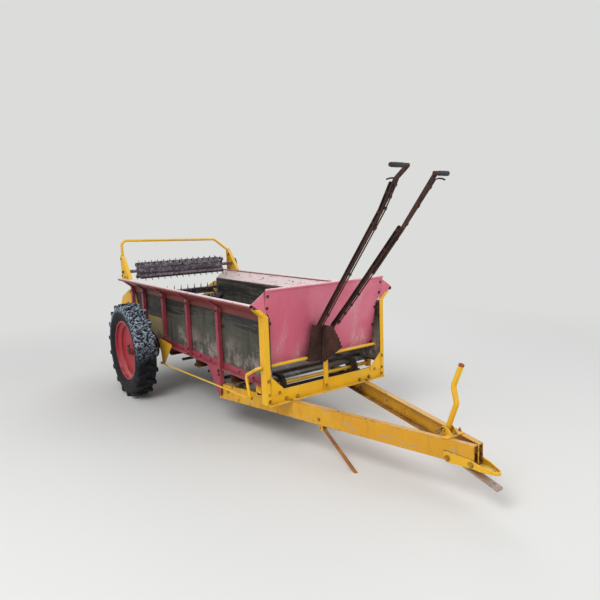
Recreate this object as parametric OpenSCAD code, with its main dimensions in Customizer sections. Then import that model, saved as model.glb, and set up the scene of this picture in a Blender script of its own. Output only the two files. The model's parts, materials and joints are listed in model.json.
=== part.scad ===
// Ground-driven manure spreader with a timber box, an apron conveyor, three rotors and an A-frame drawbar.
// Millimetres. Lengths along the machine are measured from the front face of the box: +X forward, +Y left, +Z up.

/* [Box] */
// Length of the box, front face to the rear end of the flareboards
box_l = 3105; // [2800:5:3400]
// Width over the posts and stakes
box_w = 1230; // [1100:10:1400]
// Height of the knee where the sides flare out
knee_z = 1081; // [1000:1:1150]
// Height of the top of the flareboards
flare_z = 1188; // [1160:1:1260]
// How far each flareboard leans out beyond the stakes
flare_out = 114; // [80:1:140]
// Depth of a side stake
stake_d = 40; // [30:1:55]
// Width of a side stake
stake_w = 46; // [36:1:60]
// Thickness of the side boards
board_t = 19; // [15:1:24]
// Underside of the floor
floor_z = 523; // [515:1:530]
// Thickness of the floor
floor_t = 22; // [16:1:26]
// Thickness of the pressed steel sheet
sheet_t = 4; // [3:0.5:5]
// Radius of the rolled edge of a flareboard
roll_r = 17; // [12:1:20]

/* [Front frame] */
// Underside of the front sill, which is the top of the drawbar arms
sill_z = 390; // [380:1:395]
// Height of the front sill
sill_h = 105; // [90:1:115]
// Thickness of the front sill, the posts and the gussets
post_t = 5; // [4:0.5:6]
// Reach of a post's side flange behind the cross shaft
post_d = 25; // [20:1:30]
// Lower edge of the front panel
panel_z = 655; // [650:1:670]
// Height of the front panel's top edge
panel_top = 1283; // [1250:1:1300]
// Distance from the box's front face back to the panel's lower edge
panel_back = 104; // [98:1:110]
// Distance from the box's front face forward to the panel's top edge
panel_fore = 18; // [5:1:25]

/* [Drawbar] */
// Depth of a drawbar arm
arm_h = 135; // [125:1:138]
// Width of an arm's flanges
arm_b = 50; // [40:1:60]
// Wall of an arm
arm_t = 7; // [5:0.5:9]
// Forward reach of the arms
arm_x = 1450; // [1380:5:1500]
// Half the width over the arms at the box's front face
arm_y = 409; // [390:1:430]
// Half the width over the arms at their tip
arm_tip_y = 46; // [40:1:55]
// Length of the arms under the box
arm_back = 815; // [790:5:820]

/* [Hitch] */
// Forward reach of the nose
nose_x = 1605; // [1590:1:1640]
// Diameter of the hitch pin hole
hitch_pin_d = 26; // [22:0.5:32]
// Distance of the pin hole from the nose's tip
hitch_pin_in = 46; // [40:1:52]
// Wall of the nose
nose_t = 9; // [7:0.5:12]
// Height of the nose's side plates at their rear end
nose_h = 67; // [58:1:74]
// Width of the lower strap
strap_w = 56; // [45:1:64]
// Thickness of the lower strap
strap_t = 14; // [10:1:18]
// Drop of the strap's tip below the nose
strap_drop = 82; // [72:1:92]

/* [Wheels] */
// Distance of the axle ahead of the box's rear end
axle_in = 853; // [835:1:875]
// Radius over the tyre's lugs
tyre_r = 495; // [485:1:500]
// Width of a tyre
tyre_w = 208; // [195:1:220]
// Height of the tread lugs
lug_h = 24; // [16:1:28]
// Number of lugs on each half of a tread
lug_n = 18; // [16:1:20]
// Radius of the rim's flange
rim_r = 316; // [310:1:320]
// Distance of a tyre's middle from the machine's centre line
wheel_y = 897; // [880:1:910]
// Diameter of the axle
axle_d = 50; // [44:1:56]

/* [Apron] */
// Radius of the apron sprockets at the chain
sprocket_r = 72; // [66:1:74]
// Distance of the front shaft behind the box's front face
idler_x = 175; // [170:1:185]
// Distance of the rear shaft ahead of the box's rear end
drive_in = 85; // [70:1:110]
// Diameter of the apron shafts
apron_shaft_d = 32; // [28:1:36]
// Distance between slats
slat_pitch = 300; // [260:5:340]
// Width of a slat
slat_w = 30; // [24:1:36]
// Height of a slat
slat_h = 22; // [18:1:24]

/* [Rotors] */
// Distance of the main beater ahead of the box's rear end
main_in = 65; // [59:1:71]
// Height of the main beater
main_z = 822; // [815:1:835]
// Radius over the main beater's teeth
main_r = 220; // [200:1:224]
// Distance of the upper beater ahead of the box's rear end
upper_in = 195; // [175:1:205]
// Height of the upper beater
upper_z = 1268; // [1255:1:1280]
// Radius over the upper beater's teeth
upper_r = 160; // [145:1:165]
// Distance of the wide-spread rotor behind the box's rear end
spread_out = 345; // [335:1:365]
// Height of the wide-spread rotor
spread_z = 690; // [680:1:700]
// Reach of the wide-spread rotor's paddles
spread_r = 146; // [130:1:150]
// Reach of the rear plates behind the wide-spread rotor
plate_tail = 150; // [148:1:170]
// Diameter of the rotor shafts
rotor_d = 38; // [32:1:44]
// Height of a drive chain's links
link_h = 14; // [12:1:16]

/* [Hoop] */
// Height of the hoop's top bar, at its centre line
hoop_z = 1630; // [1610:1:1640]
// Distance of the hoop ahead of the box's rear end
hoop_in = 140; // [125:1:155]
// Distance of the hoop's legs inward of the flareboards' outer edges
hoop_inset = 35; // [33:1:39]
// Diameter of the hoop's pipe
hoop_d = 30; // [26:1:34]

/* [Controls] */
// Distance of the cross shaft behind the box's front face
cross_x = 55; // [52:1:60]
// Height of the cross shaft
cross_z = 685; // [680:1:700]
// Diameter of the cross shaft
cross_d = 26; // [22:1:28]
// Radius of the lever quadrant
quadrant_r = 335; // [320:1:345]
// Place of the right lever to the left of the centre line
lever_right_y = -118; // [-124:1:-112]
// Place of the left lever to the left of the centre line
lever_left_y = 8; // [6:1:14]
// Place of the lever quadrant to the left of the centre line
quadrant_y = -75; // [-78:1:-72]
// Height of the right lever's top over the cross shaft
lever_h = 1425; // [1380:5:1440]
// Width of a lever's bar
lever_w = 34; // [28:1:38]
// Thickness of a lever's bar
lever_t = 20; // [14:1:22]

/* [Stands] */
// Height of the tongue stand's hinge pin
stand_z = 405; // [402:1:412]
// Distance of the tongue stand's pin ahead of the box's front face
stand_x = 1212; // [1195:1:1220]
// Diameter of the tongue stand's tube
stand_d = 36; // [32:1:40]
// Length of the tongue stand
stand_l = 480; // [420:5:490]
// Place of the parking leg's pin ahead of the box's front face
leg_x = 278; // [260:1:290]
// Height of the parking leg's pin
leg_z = 227; // [224:1:230]
// Forward reach of the parking leg's foot
leg_reach = 342; // [300:1:360]
// Diameter of the parking leg
leg_d = 26; // [22:1:30]
// Place of the parking leg to the right of the centre line
leg_y = 302; // [295:1:310]

/* [Hidden] */

YELLOW = "#e0b41e";
RED = "#a83848";
FADED_RED = "#b8505f";
BOARD = "#6f675c";
RUST = "#4a2a22";
BLACK = "#1b1f26";
STEEL = "#7a726a";

side_y = box_w / 2;
wall_y = side_y - stake_d;
floor_top = floor_z + floor_t;
run_fit = 0.1;
free_gap = 12;

// Places behind the box's front face
axle_x = box_l - axle_in;
drive_x = box_l - drive_in;
main_x = box_l - main_in;
upper_x = box_l - upper_in;
hoop_x = box_l - hoop_in;
spread_x = box_l + spread_out;
stake_x = [for (k = [0.254, 0.46, 0.657, 0.845, 0.962]) k * box_l];
hoop_y = side_y + flare_out - hoop_inset;
rear_reach = spread_x + plate_tail;
x_datum = (rear_reach - nose_x) / 2;
flare_rise = flare_z - knee_z;

// Slope of a drawbar arm in plan, and the arm's outer face at a distance ahead of the box
arm_slope = (arm_y - arm_tip_y) / arm_x;
arm_angle = atan(arm_slope);
function arm_at(x) = arm_y - arm_slope * x;

module at_machine() { translate([x_datum, 0, 0]) children(); }

// Mirrors what is drawn for the left side, +1, to the right side, -1
module on_side(side) { mirror([0, side > 0 ? 0 : 1, 0]) children(); }

// Plate in the XZ plane, its lower Y face at y
module upright(points, y, t) { translate([0, y + t, 0]) rotate([90, 0, 0]) linear_extrude(t) polygon(points); }

// Plate in the YZ plane, its rear face at x
module crosswise(points, x, t) { translate([x, 0, 0]) rotate([90, 0, 90]) linear_extrude(t) polygon(points); }

// Round bar along Y between two places
module bar_y(x, z, y0, y1, d) {
    translate([x, y1, z]) rotate([90, 0, 0]) cylinder(d = d, h = y1 - y0, $fn = 48);
}

// Pipe through points in space, with bends of one radius at the inner points
function unit(v) = v / norm(v);
function bend_angle(p, i) =
    i <= 0 || i >= len(p) - 1 ? 0 : acos(unit(p[i] - p[i - 1]) * unit(p[i + 1] - p[i]));
function set_back(p, i, r) = r * tan(bend_angle(p, i) / 2);
module pipe(p, r, d) {
    lap = 2;
    for (i = [0:len(p) - 2]) {
        v = p[i + 1] - p[i];
        a = set_back(p, i, r) - (i > 0 ? lap : 0);
        b = set_back(p, i + 1, r) - (i < len(p) - 2 ? lap : 0);
        translate(p[i] + unit(v) * a)
            rotate([0, acos(v.z / norm(v)), atan2(v.y, v.x)]) cylinder(d = d, h = norm(v) - a - b, $fn = 32);
    }
    for (i = [1:1:len(p) - 2]) {
        u = unit(p[i] - p[i - 1]);
        w = unit(p[i + 1] - p[i]);
        c = unit(w - (u * w) * u);
        n = cross(u, c);
        o = p[i] - u * set_back(p, i, r) + c * r;
        multmatrix([[-c.x, u.x, n.x, o.x], [-c.y, u.y, n.y, o.y], [-c.z, u.z, n.z, o.z], [0, 0, 0, 1]])
            rotate_extrude(angle = bend_angle(p, i), $fn = 64) translate([r, 0]) circle(d = d + 0.4, $fn = 32);
    }
}

// Outline of a strip of one width along points of a plane
function left_of(v) = unit([-v.y, v.x]);
function edge_step(p, i, w) = let (
    m = left_of(p[max(i, 1)] - p[max(i, 1) - 1]) + left_of(p[min(i, len(p) - 2) + 1] - p[min(i, len(p) - 2)])
) w * m / (m * m);
function strip(p, w) = concat(
    [for (i = [0:len(p) - 1]) p[i] + edge_step(p, i, w)],
    [for (i = [len(p) - 1:-1:0]) p[i] - edge_step(p, i, w)]
);

// Drawbar

// Strip of an arm in plan, between two distances inward of the outer face
module arm_strip(inner, outer, z, h) {
    c = cos(arm_angle);
    tip_gap = 0.5;
    ends = [-arm_back, arm_x];
    translate([0, 0, z]) linear_extrude(h) polygon([
        [ends[0], arm_at(ends[0]) - outer / c], [ends[1], max(tip_gap, arm_at(ends[1]) - outer / c)],
        [ends[1], arm_at(ends[1]) - inner / c], [ends[0], arm_at(ends[0]) - inner / c]
    ]);
}

module drawbar_arm(side) {
    color(YELLOW) at_machine() on_side(side) {
        arm_strip(0, arm_t, sill_z - arm_h, arm_h);
        arm_strip(0, arm_b, sill_z - arm_h, arm_t);
        arm_strip(0, arm_b, sill_z - arm_t, arm_t);
    }
}

nose_floor = sill_z - arm_h - nose_t;
nose_back = arm_x - 195;
nose_taper_x = arm_x + 50;

// Plan of the nose: along the arms, straight on past their tips, then in a taper to a round tip
module nose_plan(grow) {
    tip_r = 30;
    back = arm_at(nose_back) + grow;
    neck = arm_tip_y + grow;
    polygon(concat(
        [[nose_back, -back], [arm_x, -neck], [nose_taper_x, -neck]],
        [for (a = [-72:12:72]) [nose_x - tip_r, 0] + (tip_r - nose_t + grow) * [cos(a), sin(a)]],
        [[nose_taper_x, neck], [arm_x, neck], [nose_back, back]]
    ));
}

module hitch_nose() {
    neck_h = 46;
    taper_h = 31;
    lip = 17;
    rear_slant = 24;
    side_w = 300;
    color(YELLOW) at_machine() difference() {
        intersection() {
            translate([0, 0, nose_floor]) linear_extrude(nose_h) nose_plan(nose_t);
            upright([
                [nose_back + rear_slant, nose_floor], [nose_x + 1, nose_floor], [nose_x + 1, nose_floor + lip],
                [nose_taper_x + 20, nose_floor + taper_h], [arm_x, nose_floor + neck_h],
                [nose_back, nose_floor + nose_h]
            ], -side_w, 2 * side_w);
        }
        translate([0, 0, nose_floor + nose_t]) linear_extrude(nose_h + 1) nose_plan(0.2);
        translate([nose_x - hitch_pin_in, 0, nose_floor - 1])
            cylinder(d = hitch_pin_d, h = nose_t + 2, $fn = 48);
    }
}

module hitch_strap() {
    back = nose_back + 30;
    bend = arm_x - 150;
    top = nose_floor;
    color(STEEL) at_machine() difference() {
        upright([
            [back, top], [back, top - strap_t], [bend - 3, top - strap_t], [nose_x, top - strap_drop - strap_t],
            [nose_x, top - strap_drop], [bend, top]
        ], -strap_w / 2, strap_w);
        translate([nose_x - hitch_pin_in, 0, top - strap_drop - strap_t])
            cylinder(d = hitch_pin_d, h = strap_drop + strap_t - 1, $fn = 48);
    }
}

// Front frame

// Strip that stands up to the knee and then leans out with the flareboards
function leaning(y, t, z0, z1) = [
    [y - t, z0], [y, z0], [y, knee_z], [y + (z1 - knee_z) * flare_out / flare_rise, z1],
    [y - t + (z1 - knee_z) * flare_out / flare_rise, z1], [y - t, knee_z]
];

post_top = flare_z - 40;

module front_post(side) {
    color(YELLOW) at_machine() on_side(side) difference() {
        union() {
            crosswise(leaning(side_y, stake_d, sill_z, post_top), -post_t, post_t);
            crosswise(leaning(side_y, post_t, sill_z, post_top), -cross_x - post_d, cross_x + post_d);
        }
        bar_y(-cross_x, cross_z, side_y - post_t - 1, side_y + 1, cross_d + 2 * run_fit);
    }
}

module front_sill() {
    y = side_y - post_t;
    top = sill_z + sill_h;
    lip = 30;
    gusset = 122;
    color(YELLOW) at_machine() {
        crosswise([[-y, sill_z], [y, sill_z], [y, top], [-y, top]], -2 * post_t, post_t);
        translate([0, 0, sill_z]) linear_extrude(post_t) polygon([
            [-post_t - 1, -wall_y], [0, -wall_y], [0, -y], [lip, -y], [lip, y], [0, y], [0, wall_y],
            [-post_t - 1, wall_y]
        ]);
        for (s = [-1, 1]) on_side(s) crosswise([
            [wall_y, top - 30], [wall_y, top + gusset], [wall_y - gusset, top], [wall_y - gusset, top - 30]
        ], -post_t, post_t);
    }
}

panel_lean = atan((panel_back + panel_fore) / (panel_top - panel_z));
panel_l = (panel_top - panel_z) / cos(panel_lean);

module front_panel() {
    seat = 0.05;
    low_w = wall_y - board_t - seat;
    top_w = side_y - 20;
    bend = (knee_z + 4 - panel_z) / cos(panel_lean);
    shoulder = bend + 42;
    roll_d = 24;
    flange = 30;
    color(FADED_RED) at_machine() translate([-panel_back, 0, panel_z]) rotate([0, panel_lean, 0]) {
        crosswise([
            [-low_w, 0], [low_w, 0], [low_w, bend], [top_w, shoulder], [top_w, panel_l], [-top_w, panel_l],
            [-top_w, shoulder], [-low_w, bend]
        ], -sheet_t, sheet_t);
        bar_y(-sheet_t, panel_l, -top_w, top_w, roll_d);
        translate([-flange, -low_w, 0]) cube([flange - sheet_t, 2 * low_w, sheet_t]);
    }
}

// Place of the front panel's rear face at a height
function panel_rear(z) = -panel_back - sheet_t * cos(panel_lean)
    + tan(panel_lean) * (z - panel_z - sheet_t * sin(panel_lean));

// Wing of sheet from the post to the panel, with a lug behind the panel that carries its bolts
module panel_wing(side) {
    rear = -post_t - sheet_t;
    lap = wall_y - 15;
    edge = side_y - 17;
    lug = [1200, 1255];
    seat = 0.05;
    color(FADED_RED) at_machine() on_side(side) {
        crosswise([
            [edge, panel_top - 12], [side_y + flare_out - 14, flare_z + 2], [wall_y + 4, knee_z + 8],
            [edge, lug[0] - 62], [edge, lug[0] - 10], [lap, lug[0] - 8], [lap, lug[1] + 7]
        ], rear, sheet_t);
        upright([[-post_t - 1, lug[0]], [panel_rear(lug[0]) - seat, lug[0]],
            [panel_rear(lug[1]) - seat, lug[1]], [-post_t - 1, lug[1]]], lap, 14);
    }
}

module centre_post() {
    w = 42;
    foot = sill_z + 40;
    color(YELLOW) at_machine() translate([-post_t, quadrant_y + 11, foot]) cube([12, w, cross_z + 62 - foot]);
}

// Box

// Floor, notched at the front for the apron's sprockets and chains
module floor_boards() {
    gap = 95;
    front = idler_x - 15;
    notch_w = 48;
    color(BOARD) at_machine() difference() {
        translate([-drive_x + gap, -wall_y, floor_z]) cube([drive_x - front - gap, 2 * wall_y, floor_t]);
        for (y = [-chain_y, chain_y]) translate([-idler_x - gap, y - notch_w / 2, floor_z - 1])
            cube([gap + idler_x - front + 1, notch_w, floor_t + 2]);
    }
}

module cross_members() {
    h = 76;
    cross_half = side_y - 4;
    color(YELLOW) at_machine() for (k = [0.18, 0.4026, 0.612, 0.8245])
        translate([-k * box_l - 30, -cross_half, floor_z - h]) difference() {
            cube([60, 2 * cross_half, h]);
            translate([6, -1, 6]) cube([60, 2 * cross_half + 2, h - 12]);
        }
}

module side_board(side) {
    front = 12;
    rear = box_l - 25;
    y = [wall_y - board_t - 1, wall_y + 1];
    color(BOARD) at_machine() on_side(side) difference() {
        translate([-rear, wall_y - board_t, floor_top]) cube([rear - front, board_t, knee_z - floor_top - 12]);
        bar_y(-main_x, main_z, y[0], y[1], rotor_d + 20);
        bar_y(-cross_x, cross_z, y[0], y[1], cross_d + 14);
    }
}

module bottom_rail(side) {
    rail_h = 62;
    z = floor_z;
    front = cross_x + post_d;
    color(RED) at_machine() on_side(side) {
        translate([-box_l + 5, wall_y, z]) cube([box_l - 5 - front, 6, rail_h]);
        translate([-box_l + 5, wall_y, z]) cube([box_l - 5 - front, stake_d - 2, 6]);
    }
}

// Under face of a flareboard's sheet, from its foot at the boards to its rolled edge
flare_foot = [wall_y + sheet_t, knee_z - 6];
flare_top = [side_y + flare_out - roll_r - 6, flare_z - roll_r - 2];
flare_dir = unit(flare_top - flare_foot);
flare_up = [-flare_dir.y, flare_dir.x];

// Closed outline of a stake, which follows the underside of the flareboard
function stake_outline(inner, outer, foot) = let (
    top = flare_foot + flare_dir * 140 - flare_up * 0.3,
    bend = flare_foot - flare_up * 0.3 + flare_dir * (inner - flare_foot.x) / flare_dir.x
) [[inner, foot], [outer, foot], [outer, knee_z], top - flare_up * 14, top, bend];

module side_stake() {
    t = 5;
    foot = floor_z + 6;
    inner = wall_y + 6;
    color(RED) translate([-stake_w / 2, 0, 0]) difference() {
        crosswise(stake_outline(inner, side_y, foot), 0, stake_w);
        crosswise([
            [inner - 1, foot - 1], [side_y - t, foot - 1], [side_y - t, knee_z - 8], [inner - 1, knee_z - 8]
        ], t, stake_w - 2 * t);
    }
}

// Foot of the front stake, which stands on the drawbar arm
module stake_foot() {
    t = 5;
    low = sill_z - arm_h + 30;
    brace = 200;
    h = floor_z - sill_z;
    color(RED) translate([-stake_w / 2, 0, 0]) {
        difference() {
            translate([0, wall_y + 6, sill_z]) cube([stake_w, stake_d - 6, h]);
            translate([t, wall_y + 5, sill_z - 1]) cube([stake_w - 2 * t, stake_d - 5 - t, h + 2]);
        }
        translate([0, side_y, low]) cube([stake_w, t, floor_z + 60 - low]);
        upright([[1, low + 4], [1, floor_z + 8], [-brace, floor_z + 8], [-brace, floor_z - 2]], side_y, t);
    }
}

module side_stakes(side) {
    at_machine() on_side(side) {
        for (x = stake_x) translate([-x, 0, 0]) side_stake();
        translate([-stake_x[0], 0, 0]) stake_foot();
    }
}

module flareboard(side) {
    t = sheet_t;
    front = post_t + sheet_t + 1;
    skirt = 40;
    roll = [side_y + flare_out - roll_r, flare_z - roll_r];
    color(RED) at_machine() on_side(side) translate([-box_l, 0, 0]) difference() {
        union() {
            crosswise([
                flare_foot, flare_foot - [0, skirt], flare_foot - [t, skirt], flare_foot + [-t, 1],
                flare_foot + flare_up * t, flare_top + flare_up * t, flare_top
            ], 0, box_l - front);
            translate([0, roll.x, roll.y]) rotate([0, 90, 0]) cylinder(r = roll_r, h = box_l - front, $fn = 48);
        }
        translate([box_l - 60, roll.x, roll.y]) rotate([0, 90, 0]) cylinder(r = roll_r - 4, h = 61, $fn = 48);
    }
}

// Rear

module rear_plate(side) {
    low = floor_z + 66;
    tail = spread_x + plate_tail;
    color(YELLOW) at_machine() on_side(side) difference() {
        upright([
            [-main_x + 150, low], [-tail, low], [-tail, spread_z + 60], [-spread_x, spread_z + 230],
            [-main_x - 140, knee_z - 52], [-main_x + 60, knee_z - 52], [-main_x + 150, main_z]
        ], wall_y, post_t);
        bar_y(-spread_x, spread_z, wall_y - 1, side_y, rotor_d + 2 * run_fit);
        bar_y(-main_x, main_z, wall_y - 1, side_y, rotor_d + 2 * run_fit);
    }
}

channel_top = 1455;
leg_web_y = hoop_y + hoop_d / 2 + 0.3;

module hoop_leg(side) {
    t = 5;
    x = -hoop_x;
    half = hoop_d / 2 + 2 + t;
    lean_t = t * 1.2;
    in = 34;
    foot = flare_z;
    reach = 250;
    color(YELLOW) at_machine() on_side(side) difference() {
        union() {
            upright([[x - half, channel_top], [x + half, channel_top], [x + reach, foot], [x - half, foot]],
                leg_web_y, t);
            translate([x - half, leg_web_y - in, foot]) cube([t, in, channel_top - foot]);
            upright([[x + half, channel_top], [x + reach, foot], [x + reach - lean_t, foot],
                [x + half - lean_t, channel_top]], leg_web_y - in, in);
        }
        bar_y(-upper_x, upper_z, leg_web_y - 1, leg_web_y + t + 1, rotor_d + 2 * run_fit);
    }
}

// The left shoulder has been pushed in, so it runs down in a long slant
module hoop() {
    y = hoop_y;
    foot = channel_top - 60;
    shoulder = [[500, hoop_z - 40], [y - 4, hoop_z - 190]];
    color(YELLOW) at_machine() pipe([
        [-hoop_x, -y, foot], [-hoop_x, -y, hoop_z], [-hoop_x, shoulder[0].x, shoulder[0].y],
        [-hoop_x, shoulder[1].x, shoulder[1].y], [-hoop_x, y, foot]
    ], 60, hoop_d);
}

// Chain drive: each sprocket is a plain disc just smaller than the chain that wraps it

drive_y = side_y + 32;
flare_clear_y = side_y + flare_out + 16;
axle_sprocket_r = 118;
beater_sprocket_r = 64;
chain_w = 12;

// Outline of a chain round two wheels of the XZ plane
module belt(a, ra, b, rb) {
    t = atan2(b.y - a.y, b.x - a.x);
    f = acos((ra - rb) / norm(b - a));
    polygon([
        a + ra * [cos(t + f), sin(t + f)], b + rb * [cos(t + f), sin(t + f)],
        b + rb * [cos(t - f), sin(t - f)], a + ra * [cos(t - f), sin(t - f)]
    ]);
    translate(a) circle(r = ra, $fn = 48);
    translate(b) circle(r = rb, $fn = 48);
}

module chain(a, ra, b, rb, y) {
    h = link_h / 2;
    translate([0, y + chain_w / 2, 0]) rotate([90, 0, 0]) difference() {
        linear_extrude(chain_w) belt(a, ra + h, b, rb + h);
        translate([0, 0, -1]) linear_extrude(chain_w + 2) belt(a, ra - h, b, rb - h);
    }
}

module sprocket(c, r, y) {
    gap = 0.3;
    bar_y(c.x, c.y, y - 4, y + 4, 2 * (r - link_h / 2 - gap));
}

module drive_chains() {
    axle = [-axle_x, tyre_r];
    main = [-main_x, main_z];
    color(RUST) at_machine() {
        chain(axle, axle_sprocket_r, main, beater_sprocket_r, -drive_y);
        chain(main, beater_sprocket_r, [-spread_x, spread_z], beater_sprocket_r, drive_y);
        chain(main, beater_sprocket_r, [-upper_x, upper_z], beater_sprocket_r, flare_clear_y);
    }
}

// Running gear

module axle_hangers() {
    color(YELLOW) at_machine() for (s = [-1, 1]) on_side(s) difference() {
        translate([-axle_x - 80, wall_y - 10, tyre_r - 45]) cube([160, 18, floor_z - tyre_r + 45]);
        bar_y(-axle_x, tyre_r, wall_y - 11, wall_y + 9, axle_d + 2 * run_fit);
    }
}

hub_in = 70;
hub_out = 30;
hub_cap = 10;

// The axle carries the sprocket that drives the beaters, on the right
module axle_shaft() {
    y = wheel_y + hub_out - hub_cap - 2;
    color(STEEL) at_machine() {
        bar_y(-axle_x, tyre_r, -y, y, axle_d);
        sprocket([-axle_x, tyre_r], axle_sprocket_r, -drive_y);
    }
}

module axle_side_plates() {
    z = floor_z + 64;
    x = -axle_x;
    color(YELLOW) at_machine() for (s = [-1, 1]) on_side(s) upright([
        [x - 400, z + 70], [x - 375, z + 32], [x - 335, z + 8], [x - 290, z], [x + 140, z], [x + 140, z + 212],
        [x - 400, z + 202]
    ], wall_y, sheet_t);
}

// Revolved about the axle; the second figure of each point counts inwards from the tyre's middle
module turned(side, points) {
    at_machine() on_side(side) translate([-axle_x, wheel_y, tyre_r]) rotate([90, 0, 0])
        rotate_extrude($fn = 96) polygon(points);
}

bead_r = rim_r - 14;
rim_half = 79;

module wheel_rim(side) {
    t = 5;
    e = rim_half;
    well = bead_r - 36;
    bore = axle_d / 2 + run_fit;
    color(RED) union() {
        turned(side, [
            [bead_r - t, -e], [rim_r, -e], [rim_r, -e + t], [bead_r, -e + t], [bead_r, -e + 26],
            [well, -e + 52], [well, e - 52], [bead_r, e - 26], [bead_r, e - t],
            [rim_r, e - t], [rim_r, e], [bead_r - t, e], [bead_r - t, e - 24],
            [well - t, e - 50], [well - t, -e + 50], [bead_r - t, -e + 24]
        ]);
        turned(side, [
            [0, -hub_out], [62, -hub_out], [62, 10], [well - 24, -12], [well - 2, -12], [well - 2, -4],
            [well - 24, -4], [70, 20], [62, hub_in], [bore, hub_in], [bore, -hub_out + hub_cap],
            [0, -hub_out + hub_cap]
        ]);
    }
}

// One lug, a slanting bar from the middle of the tread to its shoulder, its top corners at the tyre's radius
lug_reach = 50;
lug_top = sqrt(tyre_r ^ 2 - lug_reach ^ 2);
module lug() {
    bar = 32;
    root = 20;
    shoulder = tyre_w / 2 - 6;
    translate([0, 0, lug_top - lug_h - root]) linear_extrude(lug_h + root) polygon([
        [-lug_reach, -6], [bar - lug_reach, -10], [lug_reach, shoulder - 14], [lug_reach, shoulder],
        [lug_reach - bar - 6, shoulder]
    ]);
}

module tyre(side) {
    w = tyre_w / 2;
    r = tyre_r - lug_h;
    e = rim_half - 5.3;
    pitch = 360 / lug_n;
    // Turns the lugs so that a corner of one is lowest
    rest = 180 - atan(lug_reach / lug_top);
    color(BLACK) {
        turned(side, [
            [bead_r + 0.3, -e], [rim_r + 1, -e], [rim_r + 3, -e - 7], [rim_r + 50, -w + 4], [rim_r + 90, -w],
            [r - 18, -w + 8], [r - 3, -w + 26], [r, 0], [r - 3, w - 26], [r - 18, w - 8], [rim_r + 90, w],
            [rim_r + 50, w - 4], [rim_r + 3, e + 7], [rim_r + 1, e], [bead_r + 0.3, e]
        ]);
        at_machine() on_side(side) translate([-axle_x, wheel_y, tyre_r]) for (i = [0:lug_n - 1]) {
            rotate([0, rest + i * pitch, 0]) lug();
            mirror([0, 1, 0]) rotate([0, rest + (i + 0.5) * pitch, 0]) lug();
        }
    }
}

// Apron

apron_z = floor_top + 12 - sprocket_r;
chain_y = 380;

module apron() {
    link_w = 26;
    link_t = 14;
    barrel = [16, 34, 18];
    barrel_pitch = 100;
    half = wall_y - board_t - free_gap;
    color(RUST) at_machine() {
        for (y = [-chain_y, chain_y]) {
            translate([0, y + link_w / 2, 0]) rotate([90, 0, 0]) difference() {
                linear_extrude(link_w) apron_loop(sprocket_r + link_t / 2);
                translate([0, 0, -1]) linear_extrude(link_w + 2) apron_loop(sprocket_r - link_t / 2);
            }
            for (x = [idler_x + 100:barrel_pitch:drive_x - 90]) for (s = [-1, 1])
                translate([-x, y, apron_z + s * sprocket_r] - barrel / 2) cube(barrel);
        }
        for (x = [idler_x + 80:slat_pitch:drive_x - 60]) for (s = [1, -1])
            translate([-x - slat_w / 2, -half, apron_z + s * sprocket_r - (s > 0 ? 12 : slat_h - 12)])
                cube([slat_w, 2 * half, slat_h]);
        for (turn = [[idler_x, -35], [drive_x, 200]])
            translate([-turn.x, 0, apron_z]) rotate([0, -turn.y, 0])
                translate([sprocket_r - link_t / 2, -half, -slat_w / 2]) cube([slat_h, 2 * half, slat_w]);
    }
}

module apron_loop(r) {
    for (x = [idler_x, drive_x]) translate([-x, apron_z]) circle(r = r, $fn = 48);
    translate([-drive_x, apron_z - r]) square([drive_x - idler_x, 2 * r]);
}

module apron_shaft(x, left_end) {
    end = wall_y + 18;
    at_machine() {
        bar_y(-x, apron_z, -end, left_end, apron_shaft_d);
        for (y = [-chain_y, chain_y]) bar_y(-x, apron_z, y - 10, y + 10, 2 * sprocket_r - 15);
    }
}

module apron_bearings() {
    z = apron_z - 34;
    color(YELLOW) at_machine() for (x = [idler_x, drive_x]) for (s = [-1, 1]) on_side(s) difference() {
        translate([-x - 36, wall_y - 2, z]) cube([72, 16, floor_z - z]);
        bar_y(-x, apron_z, wall_y - 3, wall_y + 15, apron_shaft_d + 2 * run_fit);
    }
}

module apron_front_shaft() { color(YELLOW) apron_shaft(idler_x, wall_y + 18); }

// The rear shaft is turned a tooth at a time by a ratchet wheel outside the box on the left
module apron_rear_shaft() {
    teeth = 24;
    outer_r = 95;
    root_r = 84;
    flank = 0.15;
    wheel_in = side_y + 8;
    color(STEEL) {
        apron_shaft(drive_x, wheel_in + 26);
        at_machine() upright([
            for (i = [0:teeth - 1]) for (k = [0, 1]) let (a = (i + k * flank) * 360 / teeth)
                [-drive_x, apron_z] + (k == 0 ? outer_r : root_r) * [cos(a), sin(a)]
        ], wheel_in, 8);
    }
}

// Rotors

rotor_half = wall_y - board_t - 14;

// Core tube with toothed bars on arms. The teeth of neighbouring bars are staggered.
module beater(x, z, r, bars, bar_r, core, teeth, left_end, right_end) {
    bar_w = 34;
    bar_t = 8;
    tooth = [22, 8];
    step = 2 * rotor_half / teeth;
    color(RUST) at_machine() translate([-x, 0, z]) {
        bar_y(0, 0, -right_end, left_end, rotor_d);
        bar_y(0, 0, -rotor_half, rotor_half, 2 * core);
        for (i = [0:bars - 1]) rotate([0, 360 * i / bars, 0]) {
            translate([-bar_w / 2, -rotor_half, bar_r - bar_t]) cube([bar_w, 2 * rotor_half, bar_t]);
            for (y = [-rotor_half + 30, -bar_w / 2, rotor_half - 38])
                translate([-bar_w / 2 + 2, y, core - 6]) cube([bar_w - 4, bar_t, bar_r - core]);
            for (j = [0:teeth - 1]) translate([
                -tooth.x / 2, -rotor_half + (j + 0.3 + 0.4 * (i % 2)) * step, bar_r - 4
            ]) cube([tooth.x, tooth.y, r - bar_r + 2]);
        }
    }
}

module main_beater() {
    beater(main_x, main_z, main_r, 6, 160, 60, 9, flare_clear_y + 12, drive_y + 12);
    color(RUST) at_machine() for (y = [-drive_y, drive_y, flare_clear_y])
        sprocket([-main_x, main_z], beater_sprocket_r, y);
}

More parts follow.
